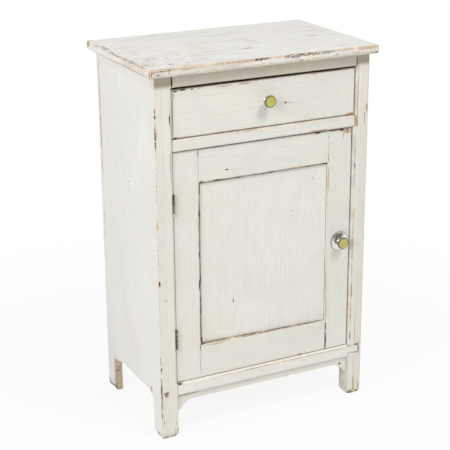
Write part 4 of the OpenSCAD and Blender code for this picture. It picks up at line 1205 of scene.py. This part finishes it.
for who, at, base in (("door", DOOR_KNOB_AT, -147.0), ("drawer", DRAWER_KNOB_AT, -143.0)):
    neck = [(r, base + y) for r, y in FOOT_OF_NECK]
    plated = chrome(f"{who}_knob_chrome", *at, HEAD_TARNISH)
    lathe(f"turned_{who}_knob", f"{who}_knob_body", *at, neck + HEAD, plated, "knob_metal")
    lathe(f"domed_{who}_face", f"{who}_knob_face", *at, DOME, knob_green(f"green_{who}", *at), "knob_face")
plated = chrome("rose_chrome", *DOOR_KNOB_AT, ROSE_TARNISH)
lathe("turned_rose", "knob_rose", *DOOR_KNOB_AT, ROSE, plated, "knob_metal", sides=96)

# ---------- studio ----------

WHITE = (1.0, 1.0, 1.0, 1.0)
AMBIENT_TONE = (0.98, 0.99, 1.0, 1.0)
FLOOR_TONE = (0.84, 0.84, 0.84, 1.0)
CARD_TONES = (0.10, 0.10, 0.10, 1.0), (0.16, 0.16, 0.15, 1.0)
FLOOR_CORNERS = [(-30, -30, 0), (30, -30, 0), (30, 30, 0), (-30, 30, 0)]
CARD_CORNERS = [(-0.4, -2.5, 0.3), (2.6, -1.7, 0.3), (2.6, -1.7, 1.5), (-0.4, -2.5, 1.5)]

scene = bpy.context.scene
scene.view_settings.view_transform = "Standard"


def camera(at, yaw, pitch, roll, lens):
    """The scene's camera, in degrees: yaw turns it right from looking along Y, pitch tips it up,
    and roll turns its picture."""
    yaw, pitch, roll = (math.radians(a) for a in (yaw, pitch, roll))
    ahead = Vector((math.sin(yaw) * math.cos(pitch), math.cos(yaw) * math.cos(pitch), math.sin(pitch)))
    level = Vector((math.cos(yaw), -math.sin(yaw), 0))
    upright = level.cross(ahead)
    right = math.cos(roll) * level + math.sin(roll) * upright
    up = -math.sin(roll) * level + math.cos(roll) * upright
    cam = bpy.data.cameras.new("camera")
    cam.lens, cam.sensor_width = lens, 36.0
    cam.clip_start, cam.clip_end = 0.05, 60.0
    o = add_object("camera", cam)
    o.matrix_world = Matrix.Translation(at) @ Matrix((right, up, -ahead)).transposed().to_4x4()
    scene.camera = o


def studio_world(ambient):
    """A white room to the eye, which lights the object with a plain even light of its own."""
    t = Tree(bpy.data.worlds.new("studio"))
    plain = t.add("ShaderNodeBackground", {"Color": AMBIENT_TONE, "Strength": ambient})
    white = t.add("ShaderNodeBackground", {"Color": WHITE, "Strength": 1.0})
    both = t.add("ShaderNodeMixShader", {0: t.seen(), 1: plain, 2: white})
    t.add("ShaderNodeOutputWorld", {"Surface": both})
    scene.world = t.owner


def lamp(name, at, to, size, watts, colour):
    """A round soft lamp that looks from one place to another, in metres."""
    light = bpy.data.lights.new(name, "AREA")
    light.shape, light.size, light.energy, light.color = "DISK", size, watts, colour
    o = add_object(name, light)
    o.location = at
    o.rotation_euler = (Vector(to) - Vector(at)).to_track_quat("-Z", "Y").to_euler()


def flat_face(name, corners, mat):
    """One face of the studio, which isn't part of the object."""
    me = bpy.data.meshes.new(name)
    me.from_pydata(corners, [], [(0, 1, 2, 3)])
    me.materials.append(mat)
    o = add_object(name, me)
    return o


def floor():
    """Matt and pale where it takes the object's shadow, and white to the eye."""
    t = new_tree("pale_floor")
    matt = t.add("ShaderNodeBsdfDiffuse", {"Color": FLOOR_TONE})
    glow = t.add("ShaderNodeEmission", {"Color": WHITE, "Strength": 1.0})
    away = t.vec("LENGTH", t.point(), out=1)
    share = t.times(t.seen(), t.step(away, 0.35, 1.3, 0.9, 1.0))
    both = t.add("ShaderNodeMixShader", {0: share, 1: matt, 2: glow})
    t.add("ShaderNodeOutputMaterial", {"Surface": both})
    flat_face("floor", FLOOR_CORNERS, t.owner)


def dark_card():
    """Stands for the studio's dark side: only bright metal mirrors it."""
    t = new_tree("dark_card")
    grey = t.mix(t.noise(t.point(), 3, 2), *CARD_TONES)
    t.add("ShaderNodeOutputMaterial", {"Surface": t.add("ShaderNodeBsdfDiffuse", {"Color": grey})})
    o = flat_face("dark_card", CARD_CORNERS, t.owner)
    o.visible_camera = o.visible_diffuse = o.visible_transmission = o.visible_shadow = False


camera(at=(-1.1575, -2.2803, 1.2885), yaw=26.557, pitch=-19.436, roll=-0.417, lens=101.47)
studio_world(ambient=0.40)
floor()
dark_card()
lamp("key_right", at=(0.9, -1.9, 3.5), to=(0, 0, 0.45), size=1.0, watts=53.5, colour=(1.0, 0.985, 0.965))
lamp("key_left", at=(-2.6, -1.3, 1.9), to=(0, 0, 0.45), size=2.0, watts=56, colour=(1.0, 0.99, 0.975))
lamp("fill_back", at=(2.3, 2.3, 0.4), to=(0, 0, 0.4), size=0.7, watts=40, colour=(1.0, 0.99, 0.98))
